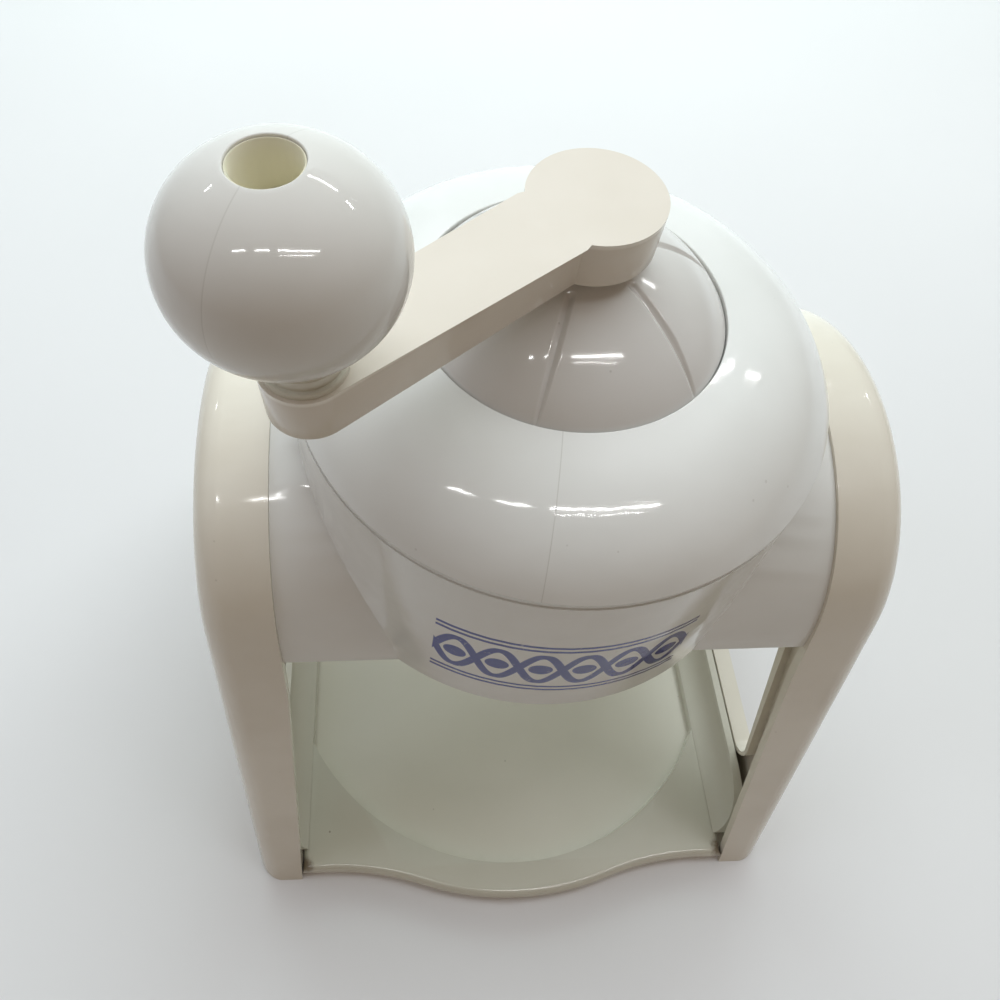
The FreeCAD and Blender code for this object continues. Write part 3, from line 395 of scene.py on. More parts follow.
EAR_X, EAR_Y, EAR_LEVEL, SHORT_SHANK = 80.2 * MM, 30.0 * MM, 0.3 * MM, 5.2 * MM
screw = {"Head Radius": 2.7 * MM, "Head Height": 1.4 * MM, "Shank Radius": 1.5 * MM, "Metal": zinc}
corners = [(x, y, EAR_LEVEL) for x in (-EAR_X, EAR_X) for y in (-EAR_Y, EAR_Y)]
tray_screws = grown("tray_fixings", screw_tree, corners,
                    {**screw, "Shank Length": SHORT_SHANK, "Turn": (0, 0, 0.4)})
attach(tray_screws, "base")
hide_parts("tray_screws")

# Three screws a side lie flat on a ring about the drum's axis, their heads inside the drum
AXIS, POST_RING, POST_TURN = 102.8 * MM, 38.0 * MM, math.radians(50)
DRUM_WALL, LONG_SHANK = 62.6 * MM, 10.1 * MM
for side in (-1, 1):
    spots = []
    for turn in (-POST_TURN, 0, POST_TURN):
        spots.append((side * DRUM_WALL, POST_RING * math.sin(turn), AXIS + POST_RING * math.cos(turn)))
    fixings = grown(f"drum_fixings_{side + 2}", screw_tree, spots,
                    {**screw, "Shank Length": LONG_SHANK, "Turn": (0, side * math.pi / 2, 0)})
    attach(fixings, "base")
    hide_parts("housing_screws")

# The housing is a thin glossy white shell: half a drum lies across a round body that flares
# downwards. A plain blue braid is printed on the front of the body, a little rubbed with use.
WHITE_LIGHT = (0.795, 0.79, 0.77)
WHITE_DEEP = (0.75, 0.745, 0.722)
BLUE = (0.03, 0.042, 0.26)
BODY_RADIUS, PRINT_SHIFT, SOFT_EDGE = 62.4 * MM, 1.2 * MM, 0.12 * MM
DOT_SOLID, DOT_ENDS = 2.6 * MM, 2.8 * MM
RULE_LEVELS, RULE_SOLID, RULE_ENDS = (10.6 * MM, 12.6 * MM), 0.45 * MM, 0.6 * MM
INK_BAND, INK_RUBBED = (0.26, 0.4), 0.6
tree, given, result = effect("printed braid", {"Middle": 137.5 * MM, "Half Width": 29.5 * MM,
                                               "Swing": 7.4 * MM, "Pitch": 19.4 * MM, "Line": 1.1 * MM},
                             ["Mask"])
x, y, z = object_axes(tree)
round_body = maths(tree, "ARCTAN2", x, maths(tree, "MULTIPLY", y, -1.0))
along = maths(tree, "ADD", maths(tree, "MULTIPLY", round_body, BODY_RADIUS), PRINT_SHIFT)
up = maths(tree, "SUBTRACT", z, given["Middle"])
turns = maths(tree, "DIVIDE", maths(tree, "MULTIPLY", along, 2 * math.pi), given["Pitch"])
wave = maths(tree, "MULTIPLY", maths(tree, "SINE", turns), given["Swing"])
steep = maths(tree, "MULTIPLY", maths(tree, "COSINE", turns),
              maths(tree, "DIVIDE", maths(tree, "MULTIPLY", given["Swing"], 2 * math.pi), given["Pitch"]))
slant = distance_of(tree, steep, 1.0)
strokes = []
for crossing in ("SUBTRACT", "ADD"):
    strand = maths(tree, "ABSOLUTE", maths(tree, crossing, up, wave))
    beyond = maths(tree, "SUBTRACT", maths(tree, "DIVIDE", strand, slant), given["Line"])
    strokes.append(between(tree, beyond, -SOFT_EDGE, SOFT_EDGE, 1.0, 0.0))
loop = maths(tree, "SUBTRACT", maths(tree, "FRACT", maths(tree, "DIVIDE", turns, math.pi)), 0.5)
across = maths(tree, "MULTIPLY", maths(tree, "MULTIPLY", loop, given["Pitch"]), 0.5)
strokes.append(between(tree, distance_of(tree, across, up), DOT_SOLID, DOT_ENDS, 1.0, 0.0))
for level in RULE_LEVELS:
    line = maths(tree, "ABSOLUTE", maths(tree, "SUBTRACT", maths(tree, "ABSOLUTE", up), level))
    strokes.append(between(tree, line, RULE_SOLID, RULE_ENDS, 1.0, 0.0))
inked = strokes[0]
for stroke in strokes[1:]:
    inked = maths(tree, "MAXIMUM", inked, stroke)
side_end = maths(tree, "SUBTRACT", maths(tree, "ABSOLUTE", along), given["Half Width"])
front = between(tree, side_end, -SOFT_EDGE, SOFT_EDGE, 1.0, 0.0)
worn = put(tree, "ShaderNodeTexNoise", {"Vector": object_place(tree), "Scale": 420.0, "Detail": 5.0,
                                        "Roughness": 0.7})
kept = between(tree, worn.outputs[0], *INK_BAND, INK_RUBBED, 1.0)
tree.links.new(maths(tree, "MULTIPLY", maths(tree, "MULTIPLY", inked, front), kept), result["Mask"])
printed_braid = tree

# A thin line that a mould leaves, where the surface meets an upright plane at a given angle
tree, given, result = effect("mould line", {"Middle X": 0.0, "Middle Y": 0.0, "Angle": 0.0,
                                            "Width": 0.12 * MM}, ["Mask"])
x, y, z = object_axes(tree)
from_x = maths(tree, "SUBTRACT", x, given["Middle X"])
from_y = maths(tree, "SUBTRACT", y, given["Middle Y"])
across = maths(tree, "SUBTRACT", maths(tree, "MULTIPLY", from_x, maths(tree, "SINE", given["Angle"])),
               maths(tree, "MULTIPLY", from_y, maths(tree, "COSINE", given["Angle"])))
line = maths(tree, "DIVIDE", maths(tree, "ABSOLUTE", across), given["Width"])
tree.links.new(between(tree, line, 0.5, 1.5, 1.0, 0.0), result["Mask"])
mould_line = tree
LINE_SHARE = 0.35


# Presses a fine line into a finished plastic, with a trace of dirt in it
def scored(material, angle, width, depth, x=0.0, y=0.0, tint=(0.42, 0.40, 0.36)):
    tree = material.node_tree
    mask = use(tree, mould_line, angle=angle, width=width, middle_x=x, middle_y=y)["Mask"]
    relief = tree.nodes["Principled BSDF"].inputs["Normal"].links[0].from_node
    height = relief.inputs["Height"].links[0].from_socket
    sunk = maths(tree, "MULTIPLY", mask, depth / relief.inputs["Strength"].default_value)
    tree.links.new(maths(tree, "SUBTRACT", height, sunk), relief.inputs["Height"])
    laid_over(material, mask, tint, LINE_SHARE)


shell_plastic = moulded_plastic("printed white plastic", WHITE_LIGHT, WHITE_DEEP, 0.085,
                                rubbing=0.3, shade_and_grime=0.3, reach=2.5 * MM, specks=0.12)
laid_over(shell_plastic, use(shell_plastic.node_tree, printed_braid)["Mask"], BLUE)
shell = eased("housing", "shell", 0.3 * MM)
shell.data.materials.append(shell_plastic)
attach(shell, "base")
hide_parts("housing")

# The ice chamber is a white cup whose flange rests on the shell's rim and shows as a thin band
# under the lid. Its floor has a slot beside the blade, and its inner wall is scuffed by ice.
CUP_LIGHT, CUP_DEEP = (0.76, 0.76, 0.745), (0.70, 0.70, 0.68)
cup = eased("ice_chamber", "cup", 0.3 * MM)
cup.data.materials.append(moulded_plastic("scuffed white plastic", CUP_LIGHT, CUP_DEEP, 0.2,
                                          rubbing=0.9, shade_and_grime=0.5, reach=4 * MM, specks=0.3))
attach(cup, "base")
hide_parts("ice_chamber")

# The blade is ground stainless steel clamped under the cup's floor by a moulded holder,
# and two small screws pass through both into the floor.
STAINLESS_BRIGHT, STAINLESS_DULL = (0.74, 0.74, 0.75), (0.58, 0.58, 0.59)
stainless = brushed_steel("ground stainless steel", STAINLESS_BRIGHT, STAINLESS_DULL, (1, 14, 1), 0.14)
edge_piece = eased("blade", "cutter", 0.05 * MM)
edge_piece.data.materials.append(stainless)
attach(edge_piece, "base")
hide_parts("blade")
HOLDER_LIGHT, HOLDER_DEEP = (0.76, 0.73, 0.62), (0.69, 0.66, 0.55)
clamp = eased("blade_holder", "clamp", 0.3 * MM)
clamp.data.materials.append(moulded_plastic("satin ivory plastic", HOLDER_LIGHT, HOLDER_DEEP, 0.4,
                                            rubbing=0.6, shade_and_grime=0.5, specks=0.3))
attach(clamp, "base")
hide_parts("blade_holder")
BLADE_SCREWS_X, BLADE_SCREWS_Y, BLADE_SCREWS_Z = (18.0 * MM, 42.0 * MM), 11.0 * MM, 111.8 * MM
blade_set = grown("blade_fixings", screw_tree, [(x, BLADE_SCREWS_Y, BLADE_SCREWS_Z) for x in BLADE_SCREWS_X],
                  {**screw, "Shank Length": SHORT_SHANK, "Turn": (0, 0, 0.9)})
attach(blade_set, "base")
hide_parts("blade_screws")

# The lid's ring is a broad swelling band of glossy white plastic, moulded hollow. Its inner rim
# ends in a crisp lip round the dome, and a skirt below centres it inside the cup.
def bent(start, stop, radius, side, steps):
    start, stop = Vector(start), Vector(stop)
    chord = stop - start
    rise = math.sqrt(radius ** 2 - chord.length_squared / 4)
    centre = (start + stop) / 2 + Vector((-chord.y, chord.x)).normalized() * rise * side
    first, last = ((p - centre) for p in (start, stop))
    sweep = first.angle_signed(last)
    return [centre + Matrix.Rotation(-sweep * step / steps, 2) @ first for step in range(steps)]


# A section in millimetres, as corners (r, z) or (r, z, radius, side) where a radius bends the next run
def section(corners, steps=24):
    line = []
    for index, corner in enumerate(corners):
        stop = corners[(index + 1) % len(corners)][:2]
        if len(corner) > 2:
            line += bent(corner[:2], stop, corner[2], corner[3], steps)
        else:
            line.append(Vector(corner[:2]))
    return line


# Rows of corners joined row to row into one closed skin, where a row of one corner is a pole
def wrapped(name, rows, sharp):
    skin = bmesh.new()
    columns = max(len(row) for row in rows)
    rings = []
    for row in rows:
        ring = [skin.verts.new(corner) for corner in row]
        rings.append(ring * columns if len(ring) == 1 else ring)
    for index, ring in enumerate(rings):
        after = rings[(index + 1) % len(rings)]
        for column in range(columns):
            beside = (column + 1) % columns
            face = dict.fromkeys([ring[column], ring[beside], after[beside], after[column]])
            if len(face) > 2:
                skin.faces.new(list(face))
    bmesh.ops.recalc_face_normals(skin, faces=skin.faces)
    return finished(name, skin, bpy.data.meshes.new(name), sharp)


# A section turned round an upright axis
def turned(name, line, columns, x=0.0, y=0.0, z=0.0):
    angles = [2 * math.pi * column / columns for column in range(columns)]
    rows = []
    for radius, height in line:
        reach, level = radius * MM, z + height * MM
        if radius < 1e-6:
            rows.append([(x, y, level)])
        else:
            rows.append([(x + reach * math.cos(a), y + reach * math.sin(a), level) for a in angles])
    return wrapped(name, rows, 30)


ring_line = section([(60, 171.3, 32.3, 1), (32.5, 188.0), (32.5, 185.0), (34.9, 185.0),
                     (34.9, 185.6, 29.9, -1), (55.2, 173.7), (51.1, 173.7), (51.1, 164.3),
                     (53.5, 164.3), (53.5, 171.3)], 48)
roll = turned("roll", ring_line, 200)
soften(roll, 0.35 * MM, 3)
roll_plastic = moulded_plastic("glossy white plastic", WHITE_LIGHT, WHITE_DEEP, 0.075,
                               rubbing=0.25, shade_and_grime=0.25, reach=2 * MM, specks=0.15)
scored(roll_plastic, math.radians(-100), 0.1 * MM, 0.05)
roll.data.materials.append(roll_plastic)
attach(roll, "lid")
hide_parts("lid_ring")

# The dome snaps into the ring from below and carries the crank's bush in a long boss.
# Six narrow moulded grooves run down it from the hub, their edges slightly broken.
DOME_APEX, DOME_SPHERE, DOME_REACH, DOME_EDGE, DOME_WALL = 204.0, 39.28, 32.35, 187.0, 2.4
DOME_CENTRE = DOME_APEX - DOME_SPHERE
RIM_ROUND, RIM_IN, RIM_DOWN, FLANGE_REACH, FLANGE_LEVEL = 0.35, 0.1, 0.25, 36.35, 185.0
BOSS_BORE, BOSS_REACH, BOSS_END = 5.55, 9.0, 185.0
OUTER_STEPS, INNER_STEPS, FLAT_COLUMNS = 60, 12, 18
GROOVES, GROOVE_TURN, GROOVE_DEPTH = 6, math.radians(-109), 0.8
GROOVE_START, RUN_IN, RUN_OUT = 11.4, 0.8, 9.0
NARROW_END, WIDENING, SHALLOW_END, TAPER_BEND, WALL_SLOPE = 0.3, 0.72, 0.25, 0.6, 1.12
ACROSS_HALF = [0.25, 0.5, 0.75, 0.9, 1.05, 1.25, 1.8]
ACROSS = [-offset for offset in reversed(ACROSS_HALF)] + [0.0] + ACROSS_HALF
OFF_GROOVE = 9.0


# The angles of the columns at a radius, each with its distance from the middle of a groove
def groove_columns(radius):
    spots = []
    for groove in range(GROOVES):
        here = GROOVE_TURN + groove * 2 * math.pi / GROOVES
        spots += [(here + math.asin(offset / radius), offset) for offset in ACROSS]
        gap = math.asin(ACROSS[-1] / radius)
        free = 2 * math.pi / GROOVES - 2 * gap
        for step in range(1, FLAT_COLUMNS + 1):
            spots.append((here + gap + free * step / (FLAT_COLUMNS + 1), OFF_GROOVE))
    return spots


def within(share):
    return min(1.0, max(0.0, share))


def groove_sink(radius, offset):
    start = within((radius - GROOVE_START) / RUN_IN)
    taper = within((DOME_REACH - radius) / RUN_OUT) ** TAPER_BEND
    half_width = NARROW_END + WIDENING * taper
    wall = within(WALL_SLOPE * (1.0 - abs(offset) / half_width))
    return GROOVE_DEPTH * wall * start * (SHALLOW_END + (1.0 - SHALLOW_END) * taper)


# The dome's section as (radius, height, whether grooves cut it): outside, flange, inside, boss
outline = []
for step in range(OUTER_STEPS + 1):
    radius = BOSS_BORE + (DOME_REACH - RIM_ROUND - BOSS_BORE) * step / OUTER_STEPS
    outline.append((radius, DOME_CENTRE + math.sqrt(DOME_SPHERE ** 2 - radius ** 2), True))
outline += [(DOME_REACH - RIM_IN, DOME_EDGE, True), (DOME_REACH, DOME_EDGE - RIM_DOWN, False),
            (DOME_REACH, FLANGE_LEVEL, False), (FLANGE_REACH, FLANGE_LEVEL, False),
            (FLANGE_REACH, FLANGE_LEVEL - DOME_WALL, False),
            (DOME_REACH - DOME_WALL, FLANGE_LEVEL - DOME_WALL, False)]
inner_sphere = DOME_SPHERE - DOME_WALL
inner_top = math.asin(BOSS_REACH / inner_sphere)
inner_low = math.asin((DOME_REACH - DOME_WALL) / inner_sphere)
for step in range(INNER_STEPS + 1):
    lean = inner_low + (inner_top - inner_low) * step / INNER_STEPS
    outline.append((inner_sphere * math.sin(lean), DOME_CENTRE + inner_sphere * math.cos(lean), False))
outline += [(BOSS_REACH, BOSS_END, False), (BOSS_BORE, BOSS_END, False)]
rows = []
for radius, height, grooved in outline:
    lean = math.asin(min(1.0, radius / DOME_SPHERE))
    row = []
    for angle, offset in groove_columns(radius):
        sink = groove_sink(radius, offset) if grooved else 0.0
        reach = (radius - sink * math.sin(lean)) * MM
        row.append((reach * math.cos(angle), reach * math.sin(angle), (height - sink * math.cos(lean)) * MM))
    rows.append(row)
dome = wrapped("dome", rows, 50)
DOME_LIGHT, DOME_DEEP = (0.70, 0.68, 0.66), (0.655, 0.635, 0.61)
dome_plastic = moulded_plastic("white dome plastic", DOME_LIGHT, DOME_DEEP, 0.085,
                               rubbing=0.45, shade_and_grime=0.45, reach=1.2 * MM, specks=0.2)
dome.data.materials.append(dome_plastic)
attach(dome, "lid")
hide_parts("lid_dome")

# A turned satin bush lines the dome's boss. The steel shaft runs in it, held by a clip above
# the spring's seat, and ends in flats that drive the presser, with a stop ring below.
BUSH_LIGHT, BUSH_DEEP = (0.66, 0.66, 0.64), (0.6, 0.6, 0.58)
bush_plastic = moulded_plastic("satin bush plastic", BUSH_LIGHT, BUSH_DEEP, 0.38,
                               rubbing=0.6, shade_and_grime=0.4, specks=0.0)
bush = eased("shaft_bush", "bush", 0.15 * MM)
bush.data.materials.append(bush_plastic)
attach(bush, "lid")
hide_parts("shaft_bush")
BAR_BRIGHT, BAR_DULL = (0.68, 0.68, 0.67), (0.5, 0.5, 0.5)
drawn_bar = brushed_steel("drawn steel bar", BAR_BRIGHT, BAR_DULL, (3, 3, 0.2), 0.22)
rod = eased("drive_shaft", "rod", 0.15 * MM)
rod.data.materials.append(drawn_bar)
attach(rod, "crank")
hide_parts("drive_shaft")
washers = {"shaft_clip": "clip_ring", "spring_seat": "seat_washer", "presser_stop": "stop_washer"}
for node, name in washers.items():
    washer = eased(node, name, 0.12 * MM)
    washer.data.materials.append(zinc)
    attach(washer, "crank")
    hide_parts(node)

# The pressure spring is one wire wound in nine turns round the shaft. It pushes the presser
# down from its seat; the real one closes up as the presser rises, but this one keeps one length.
SPRING_LOW, SPRING_HIGH, SPRING_RADIUS, WIRE = 135.0 * MM, 181.4 * MM, 7.6 * MM, 0.68 * MM
WIRE_BRIGHT, WIRE_DULL = (0.6, 0.6, 0.6), (0.42, 0.42, 0.43)
spring_tree, given = shape_tree("wound spring", {"Turns": "Float", "Radius": "Float", "Wire": "Float",
                                                 "Height": "Float"})
coil = put(spring_tree, "GeometryNodeCurveSpiral",
           {"Resolution": 48, "Rotations": given["Turns"], "Start Radius": given["Radius"],
            "End Radius": given["Radius"], "Height": given["Height"]})
wire = put(spring_tree, "GeometryNodeCurvePrimitiveCircle", {"Resolution": 12, "Radius": given["Wire"]})
wound = put(spring_tree, "GeometryNodeCurveToMesh",
            {"Curve": coil.outputs[0], "Profile Curve": wire.outputs[0], "Fill Caps": True})
planted(spring_tree, given, wound.outputs[0])
spring_steel = brushed_steel("spring wire", WIRE_BRIGHT, WIRE_DULL, (2, 2, 2), 0.2)
spring = grown("spring", spring_tree, [(0, 0, SPRING_LOW)],
               {"Turns": 9.0, "Radius": SPRING_RADIUS, "Wire": WIRE, "Height": SPRING_HIGH - SPRING_LOW,
                "Metal": spring_steel})
spring.data.shade_smooth()
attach(spring, "crank")
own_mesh(spring)
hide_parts("pressure_spring")

# The crank is one moulding in ivory: a round hub and a straight arm with a half round end.
# Its top edges are rolled over and carry a painted highlight, its under edges are only eased, and its skin
# is satin.
CRANK_TURN, HUB_BOTTOM, ARM_THICK, HUB_RADIUS = math.radians(-143.6), 205.6, 9.9, 12.9
ARM_HALF, ARM_LENGTH, TOP_ROLL, UNDER_EASE = 7.5, 61.5, 1.3, 0.35
neck = math.sqrt(HUB_RADIUS ** 2 - ARM_HALF ** 2)
arm_line = section([(neck, -ARM_HALF), (ARM_LENGTH, -ARM_HALF, ARM_HALF, 1),
                    (ARM_LENGTH + ARM_HALF, 0, ARM_HALF, 1), (ARM_LENGTH, ARM_HALF),
                    (neck, ARM_HALF, HUB_RADIUS, 1), (-HUB_RADIUS, 0, HUB_RADIUS, 1)], 28)
skin = bmesh.new()
low, high = ([skin.verts.new((p.x * MM, p.y * MM, level * MM)) for p in arm_line]
             for level in (HUB_BOTTOM, HUB_BOTTOM + ARM_THICK))
count = len(arm_line)
for index in range(count):
    after = (index + 1) % count
    skin.faces.new([low[index], low[after], high[after], high[index]])
top = skin.faces.new(high)
under = skin.faces.new(list(reversed(low)))
for face, ease, steps in ((top, TOP_ROLL, 6), (under, UNDER_EASE, 2)):
    bmesh.ops.bevel(skin, geom=list(face.edges), offset=ease * MM, offset_type="OFFSET", segments=steps,
                    profile=0.5, affect="EDGES", clamp_overlap=False)
skin.transform(Matrix.Rotation(CRANK_TURN, 4, "Z"))
bmesh.ops.recalc_face_normals(skin, faces=skin.faces)
arm = finished("arm", skin, bpy.data.meshes.new("arm"), 35)
CRANK_LIGHT = (0.74, 0.675, 0.595)
CRANK_DEEP = (0.70, 0.635, 0.55)
EDGE_HIGHLIGHT_TINT, EDGE_HIGHLIGHT_SHARE = (0.92, 0.88, 0.81), 0.75
HIGHLIGHT_STARTS, HIGHLIGHT_CLEAR, HIGHLIGHT_FULL, HIGHLIGHT_ENDS = 0.03 * MM, 0.2 * MM, 0.5 * MM, 1.2 * MM
crank_plastic = moulded_plastic("pale ivory plastic", CRANK_LIGHT, CRANK_DEEP, 0.16,
                                rubbing=0.3, shade_and_grime=0.2, specks=0.08)
# A painted highlight along the rolled top edge starts a little below the flat top and fades out down the
# side
tree = crank_plastic.node_tree
height = object_axes(tree)["Z"]
TOP = (HUB_BOTTOM + ARM_THICK) * MM
below_top = maths(tree, "SUBTRACT", TOP, height)
edge_highlight = maths(tree, "MULTIPLY", between(tree, below_top, HIGHLIGHT_FULL, HIGHLIGHT_ENDS, 1.0, 0.0),
               between(tree, below_top, HIGHLIGHT_STARTS, HIGHLIGHT_CLEAR))
laid_over(crank_plastic, edge_highlight, EDGE_HIGHLIGHT_TINT, EDGE_HIGHLIGHT_SHARE)
arm.data.materials.append(crank_plastic)
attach(arm, "crank")
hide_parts("crank_arm")

# The knob turns on a hollow ivory pin. A stepped collar stands on the arm below it, with fine
# turned rings, and the pin's cup shows in the knob's open top.
KNOB_X, KNOB_Y = ARM_LENGTH * MM * math.cos(CRANK_TURN), ARM_LENGTH * MM * math.sin(CRANK_TURN)
KNOB_PLACE = (KNOB_X, KNOB_Y, TOP)
COLLAR_LIGHT, COLLAR_DEEP = (0.74, 0.72, 0.63), (0.66, 0.635, 0.55)
collar_line = section([(3.0, 0.0), (6.9, 0.0), (6.9, 0.9), (6.7, 1.1), (6.1, 1.1), (6.0, 1.3), (6.0, 2.8),
                       (5.7, 3.2), (5.1, 3.2), (4.9, 3.5), (4.9, 4.6), (4.7, 4.75), (4.7, 5.0),
                       (4.9, 5.15), (4.9, 6.9), (4.6, 7.2), (3.0, 7.2)])
collar = turned("collar", collar_line, 96, *KNOB_PLACE)
collar_plastic = moulded_plastic("handled ivory plastic", COLLAR_LIGHT, COLLAR_DEEP, 0.16,
                                 rubbing=0.5, shade_and_grime=0.8, reach=2 * MM, specks=0.3)
collar.data.materials.append(collar_plastic)
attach(collar, "crank")
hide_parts("knob_collar")
PIN_LIGHT, PIN_DEEP = (0.80, 0.765, 0.62), (0.76, 0.72, 0.57)
pin_line = section([(0.0, -7.5), (3.0, -7.5), (3.0, 27.27), (4.55, 27.27), (4.55, 35.45), (4.4, 35.5),
                    (4.25, 35.3), (4.0, 33.4), (3.85, 28.9), (3.4, 28.47), (0.0, 28.47)])
pin = turned("pin", pin_line, 96, *KNOB_PLACE)
pin_plastic = moulded_plastic("warm ivory plastic", PIN_LIGHT, PIN_DEEP, 0.22,
                              rubbing=0.3, shade_and_grime=0.25, reach=2 * MM, specks=0.1)
pin.data.materials.append(pin_plastic)
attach(pin, "crank")
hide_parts("knob_pin")

# The ball knob is glossy white plastic, a little flatter than a sphere, moulded in two halves
# whose parting line can just be seen. Its mouth has a small rolled edge.
BALL_RADIUS, BALL_HALF, BALL_MIDDLE, MOUTH, BORE = 16.3, 14.833, 21.633, 4.6, 3.05
MOUTH_ROLL, FOOT_LEVEL, BORE_FLOOR = 0.2, 7.5, 26.97
BALL_STEPS, LIP_STEPS = 72, 6
LIP_START, LIP_SWEEP = math.radians(72), math.radians(108)
mouth_reach = MOUTH + MOUTH_ROLL
low_lean = math.asin((FOOT_LEVEL - BALL_MIDDLE) / BALL_HALF)
high_lean = math.acos(mouth_reach / BALL_RADIUS)
ball_line = [Vector((BORE, FOOT_LEVEL))]
for step in range(BALL_STEPS + 1):
    lean = low_lean + (high_lean - low_lean) * step / BALL_STEPS
    ball_line.append(Vector((BALL_RADIUS * math.cos(lean), BALL_MIDDLE + BALL_HALF * math.sin(lean))))
lip = BALL_MIDDLE + BALL_HALF * math.sqrt(1 - (mouth_reach / BALL_RADIUS) ** 2)
for step in range(1, LIP_STEPS + 1):
    lean = LIP_START + LIP_SWEEP * step / LIP_STEPS
    ball_line.append(Vector((mouth_reach + MOUTH_ROLL * math.cos(lean),
                             lip - MOUTH_ROLL * (1 - math.sin(lean)))))
ball_line += [Vector((MOUTH, BORE_FLOOR)), Vector((BORE, BORE_FLOOR))]
ball = turned("ball", ball_line, 160, *KNOB_PLACE)
BALL_LIGHT, BALL_DEEP, PARTING_TINT = (0.735, 0.715, 0.685), (0.69, 0.67, 0.635), (0.5, 0.48, 0.44)
ball_plastic = moulded_plastic("glossy knob plastic", BALL_LIGHT, BALL_DEEP, 0.065,
                               rubbing=0.4, shade_and_grime=0.3, reach=1.5 * MM, specks=0.2)
scored(ball_plastic, math.radians(-118), 0.09 * MM, 0.06, KNOB_X, KNOB_Y, PARTING_TINT)
ball.data.materials.append(ball_plastic)
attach(ball, "knob")
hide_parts("knob_ball")

# The presser is a ribbed ivory disc that slides on the shaft's flats inside the cup, and twelve
# blunt steel spikes set in two rings under it grip the ice.
DISC_LIGHT, DISC_DEEP = (0.78, 0.75, 0.64), (0.73, 0.7, 0.58)
disc = eased("presser_disc", "disc", 0.3 * MM)
disc.data.materials.append(moulded_plastic("presser ivory plastic", DISC_LIGHT, DISC_DEEP, 0.2,
                                           rubbing=0.8, shade_and_grime=0.5, specks=0.2))
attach(disc, "presser")
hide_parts("presser_disc")

spike_tree, given = shape_tree("spike rings", {"Ring": "Float", "Count": "Int", "Start": "Float",
                                               "Root": "Float", "Tip": "Float", "Length": "Float"})
circle = put(spike_tree, "GeometryNodeMeshCircle", {"Vertices": given["Count"], "Radius": given["Ring"]})
spun_ring = put(spike_tree, "GeometryNodeTransform", {"Geometry": circle.outputs[0],
                                                      "Rotation": triple(spike_tree, z=given["Start"])})
cone = put(spike_tree, "GeometryNodeMeshCone",
           {"Vertices": 28, "Side Segments": 3, "Radius Top": given["Root"],
            "Radius Bottom": given["Tip"], "Depth": given["Length"]})
hung = raised(spike_tree, cone.outputs[0], maths(spike_tree, "MULTIPLY", given["Length"], -0.5))
around = put(spike_tree, "GeometryNodeInstanceOnPoints", {"Points": spun_ring.outputs[0], "Instance": hung})
one_ring = put(spike_tree, "GeometryNodeRealizeInstances", {0: around.outputs[0]})
planted(spike_tree, given, one_ring.outputs[0])
SPIKE = {"Root": 2.4 * MM, "Tip": 0.6 * MM, "Length": 4.6 * MM, "Metal": stainless}
DISC_UNDERSIDE = 124.2 * MM
for name, ring, count in (("outer_spikes", 37.0 * MM, 8), ("inner_spikes", 20.0 * MM, 4)):
    spikes = grown(name, spike_tree, [(0, 0, DISC_UNDERSIDE)],
                   {**SPIKE, "Ring": ring, "Count": count, "Start": math.pi / count})
    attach(spikes, "presser")
    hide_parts("presser_spikes")

# A plain pale sheet lies under the shaver and curves up behind it. Soft light falls from above, from
# the left and from behind, and thin ceiling tubes leave narrow bright lines on the glossy plastic.
SHEET_SEEN, SHEET_CLOUD = (0.725, 0.71, 0.715, 1), (0.74, 0.725, 0.73, 1)
SHEET_LIT = (0.56, 0.545, 0.515, 1)
SHEET_FRONT, SHEET_BEND, SHEET_ROUND, SHEET_TOP, SHEET_HALF = -1.4, 0.55, 0.35, 1.6, 1.8
sweep = [(SHEET_FRONT, 0.0)]
for degrees in range(0, 91, 6):
    lean = math.radians(degrees)
    sweep.append((SHEET_BEND + SHEET_ROUND * math.sin(lean), SHEET_ROUND * (1 - math.cos(lean))))
sweep.append((SHEET_BEND + SHEET_ROUND, SHEET_TOP))
points = [(x, y, z) for y, z in sweep for x in (-SHEET_HALF, SHEET_HALF)]
faces = [(2 * i, 2 * i + 1, 2 * i + 3, 2 * i + 2) for i in range(len(sweep) - 1)]
mesh = bpy.data.meshes.new("sheet")
mesh.from_pydata(points, [], faces)
mesh.shade_smooth()
sheet_object = bpy.data.objects.new("sheet", mesh)
bpy.context.scene.collection.objects.link(sheet_object)
paper, tree, surface = blank_material("pale sheet")
skin = use(tree, moulded_skin, tone_size=3.0, ripple_size=700.0, rubbing=0.0)
rays = put(tree, "ShaderNodeLightPath").outputs
mirrored = maths(tree, "MAXIMUM", rays["Is Glossy Ray"], rays["Is Transmission Ray"])
straight = maths(tree, "MAXIMUM", rays["Is Camera Ray"], mirrored)
clouded = tinted(tree, skin["Tone"], SHEET_SEEN, SHEET_CLOUD)
tree.links.new(tinted(tree, straight, SHEET_LIT, clouded), surface["Base Color"])
surface["Roughness"].default_value = 0.85
mesh.materials.append(paper)

ROOM_GLOW, ROOM_STRENGTH, BEYOND_SHEET = (1.0, 0.79, 0.6, 1), 0.24, (0.78, 0.79, 0.79, 1)
world = bpy.data.worlds.new("room")
bpy.context.scene.world = world
world.use_nodes = True
tree = world.node_tree
tree.nodes.clear()
rays = put(tree, "ShaderNodeLightPath").outputs
seen = maths(tree, "MAXIMUM", rays["Is Camera Ray"], rays["Is Transmission Ray"])
room = put(tree, "ShaderNodeBackground", {"Color": ROOM_GLOW, "Strength": ROOM_STRENGTH})
beyond = put(tree, "ShaderNodeBackground", {"Color": BEYOND_SHEET, "Strength": 1.0})
mixed = put(tree, "ShaderNodeMixShader", {0: seen, 1: room.outputs[0], 2: beyond.outputs[0]})
put(tree, "ShaderNodeOutputWorld", {0: mixed.outputs[0]})


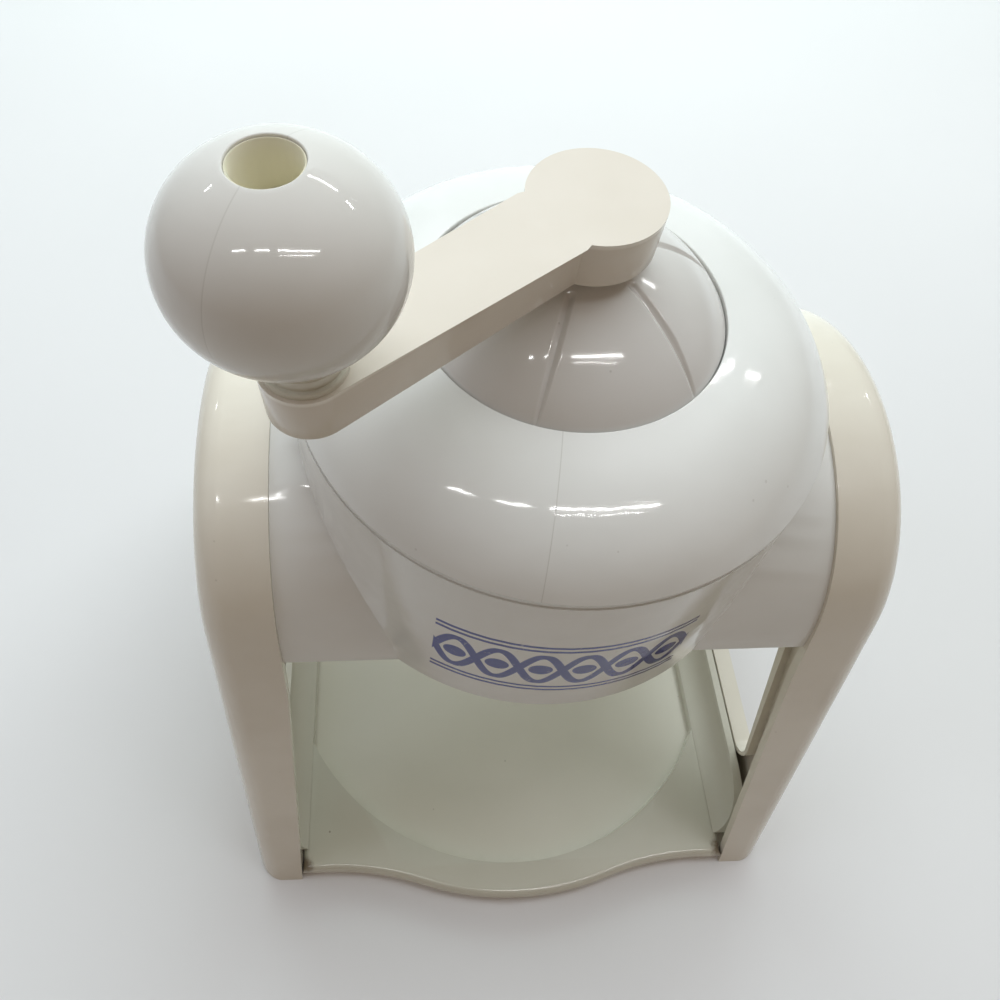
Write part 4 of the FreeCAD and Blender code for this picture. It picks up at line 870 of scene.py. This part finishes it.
def lamp(name, spot, aim, wide, deep, watts, colour):
    light = bpy.data.lights.new(name, "AREA")
    light.shape = "RECTANGLE"
    light.size = wide
    light.size_y = deep
    light.energy = watts
    light.color = colour
    holder = bpy.data.objects.new(name, light)
    holder.location = spot
    holder.rotation_euler = (Vector(aim) - Vector(spot)).to_track_quat("-Z", "Y").to_euler()
    bpy.context.scene.collection.objects.link(holder)
    return holder


# Soft lamps light the surfaces without showing in them: place, aim, two sides, watts and colour
soft = {"overhead": ((0.2, 0.5, 1.3), (0, 0.05, 0.1), 1.5, 0.9, 18.6, (0.865, 0.953, 1.0)),
        "left fill": ((-1.0, 0.1, 0.75), (0, 0, 0.08), 0.8, 0.5, 2.4, (0.74, 0.86, 1.0)),
        "rear fill": ((0.0, 0.82, 0.55), (0, 0, 0.05), 1.4, 0.4, 4.7, (0.78, 1.0, 0.99))}
for name, setting in soft.items():
    lamp(name, *setting).visible_glossy = False
# Tubes show only as reflections: place across and along, two sides and watts, all at one level
TUBE_LEVEL = 1.2
tubes = {"front tube": (0.36, -0.6, 0.72, 0.018, 3.2), "front tube twin": (0.33, -0.7, 0.6, 0.008, 0.9),
         "left tube": (-0.62, -0.58, 0.22, 0.018, 0.9), "middle tube": (-0.23, -0.6, 0.22, 0.018, 0.8),
         "rear tube": (0.55, 0.68, 0.5, 0.03, 1.9),
         "rear right tube": (1.2, 0.6, 0.3, 0.03, 1.2), "rear left tube": (-1.15, 0.75, 0.2, 0.03, 0.7)}
for name, (x, y, wide, deep, watts) in tubes.items():
    tube = lamp(name, (x, y, TUBE_LEVEL), (x, y, 0.0), wide, deep, watts, (1.0, 1.0, 1.0))
    tube.visible_diffuse = False

CAMERA_PLACE = (-0.0348, -0.10543, 0.30464)
VIEW_RIGHT = Vector((0.999, -0.0372, 0.0232))
VIEW_UP = Vector((0.0189, 0.8433, 0.5371))
VIEW_AHEAD = Vector((0.0395, 0.5361, -0.8432))
camera = bpy.data.cameras.new("view")
camera.sensor_width = 36.0
camera.lens = 27.018
camera.shift_x = 0.06497
camera.shift_y = -0.0703
camera.clip_start = 0.01
viewer = bpy.data.objects.new("view", camera)
turn = Matrix((VIEW_RIGHT, VIEW_UP, -VIEW_AHEAD)).transposed().to_4x4()
viewer.matrix_world = Matrix.Translation(CAMERA_PLACE) @ turn
bpy.context.scene.collection.objects.link(viewer)
bpy.context.scene.camera = viewer
bpy.context.scene.view_settings.view_transform = "Standard"
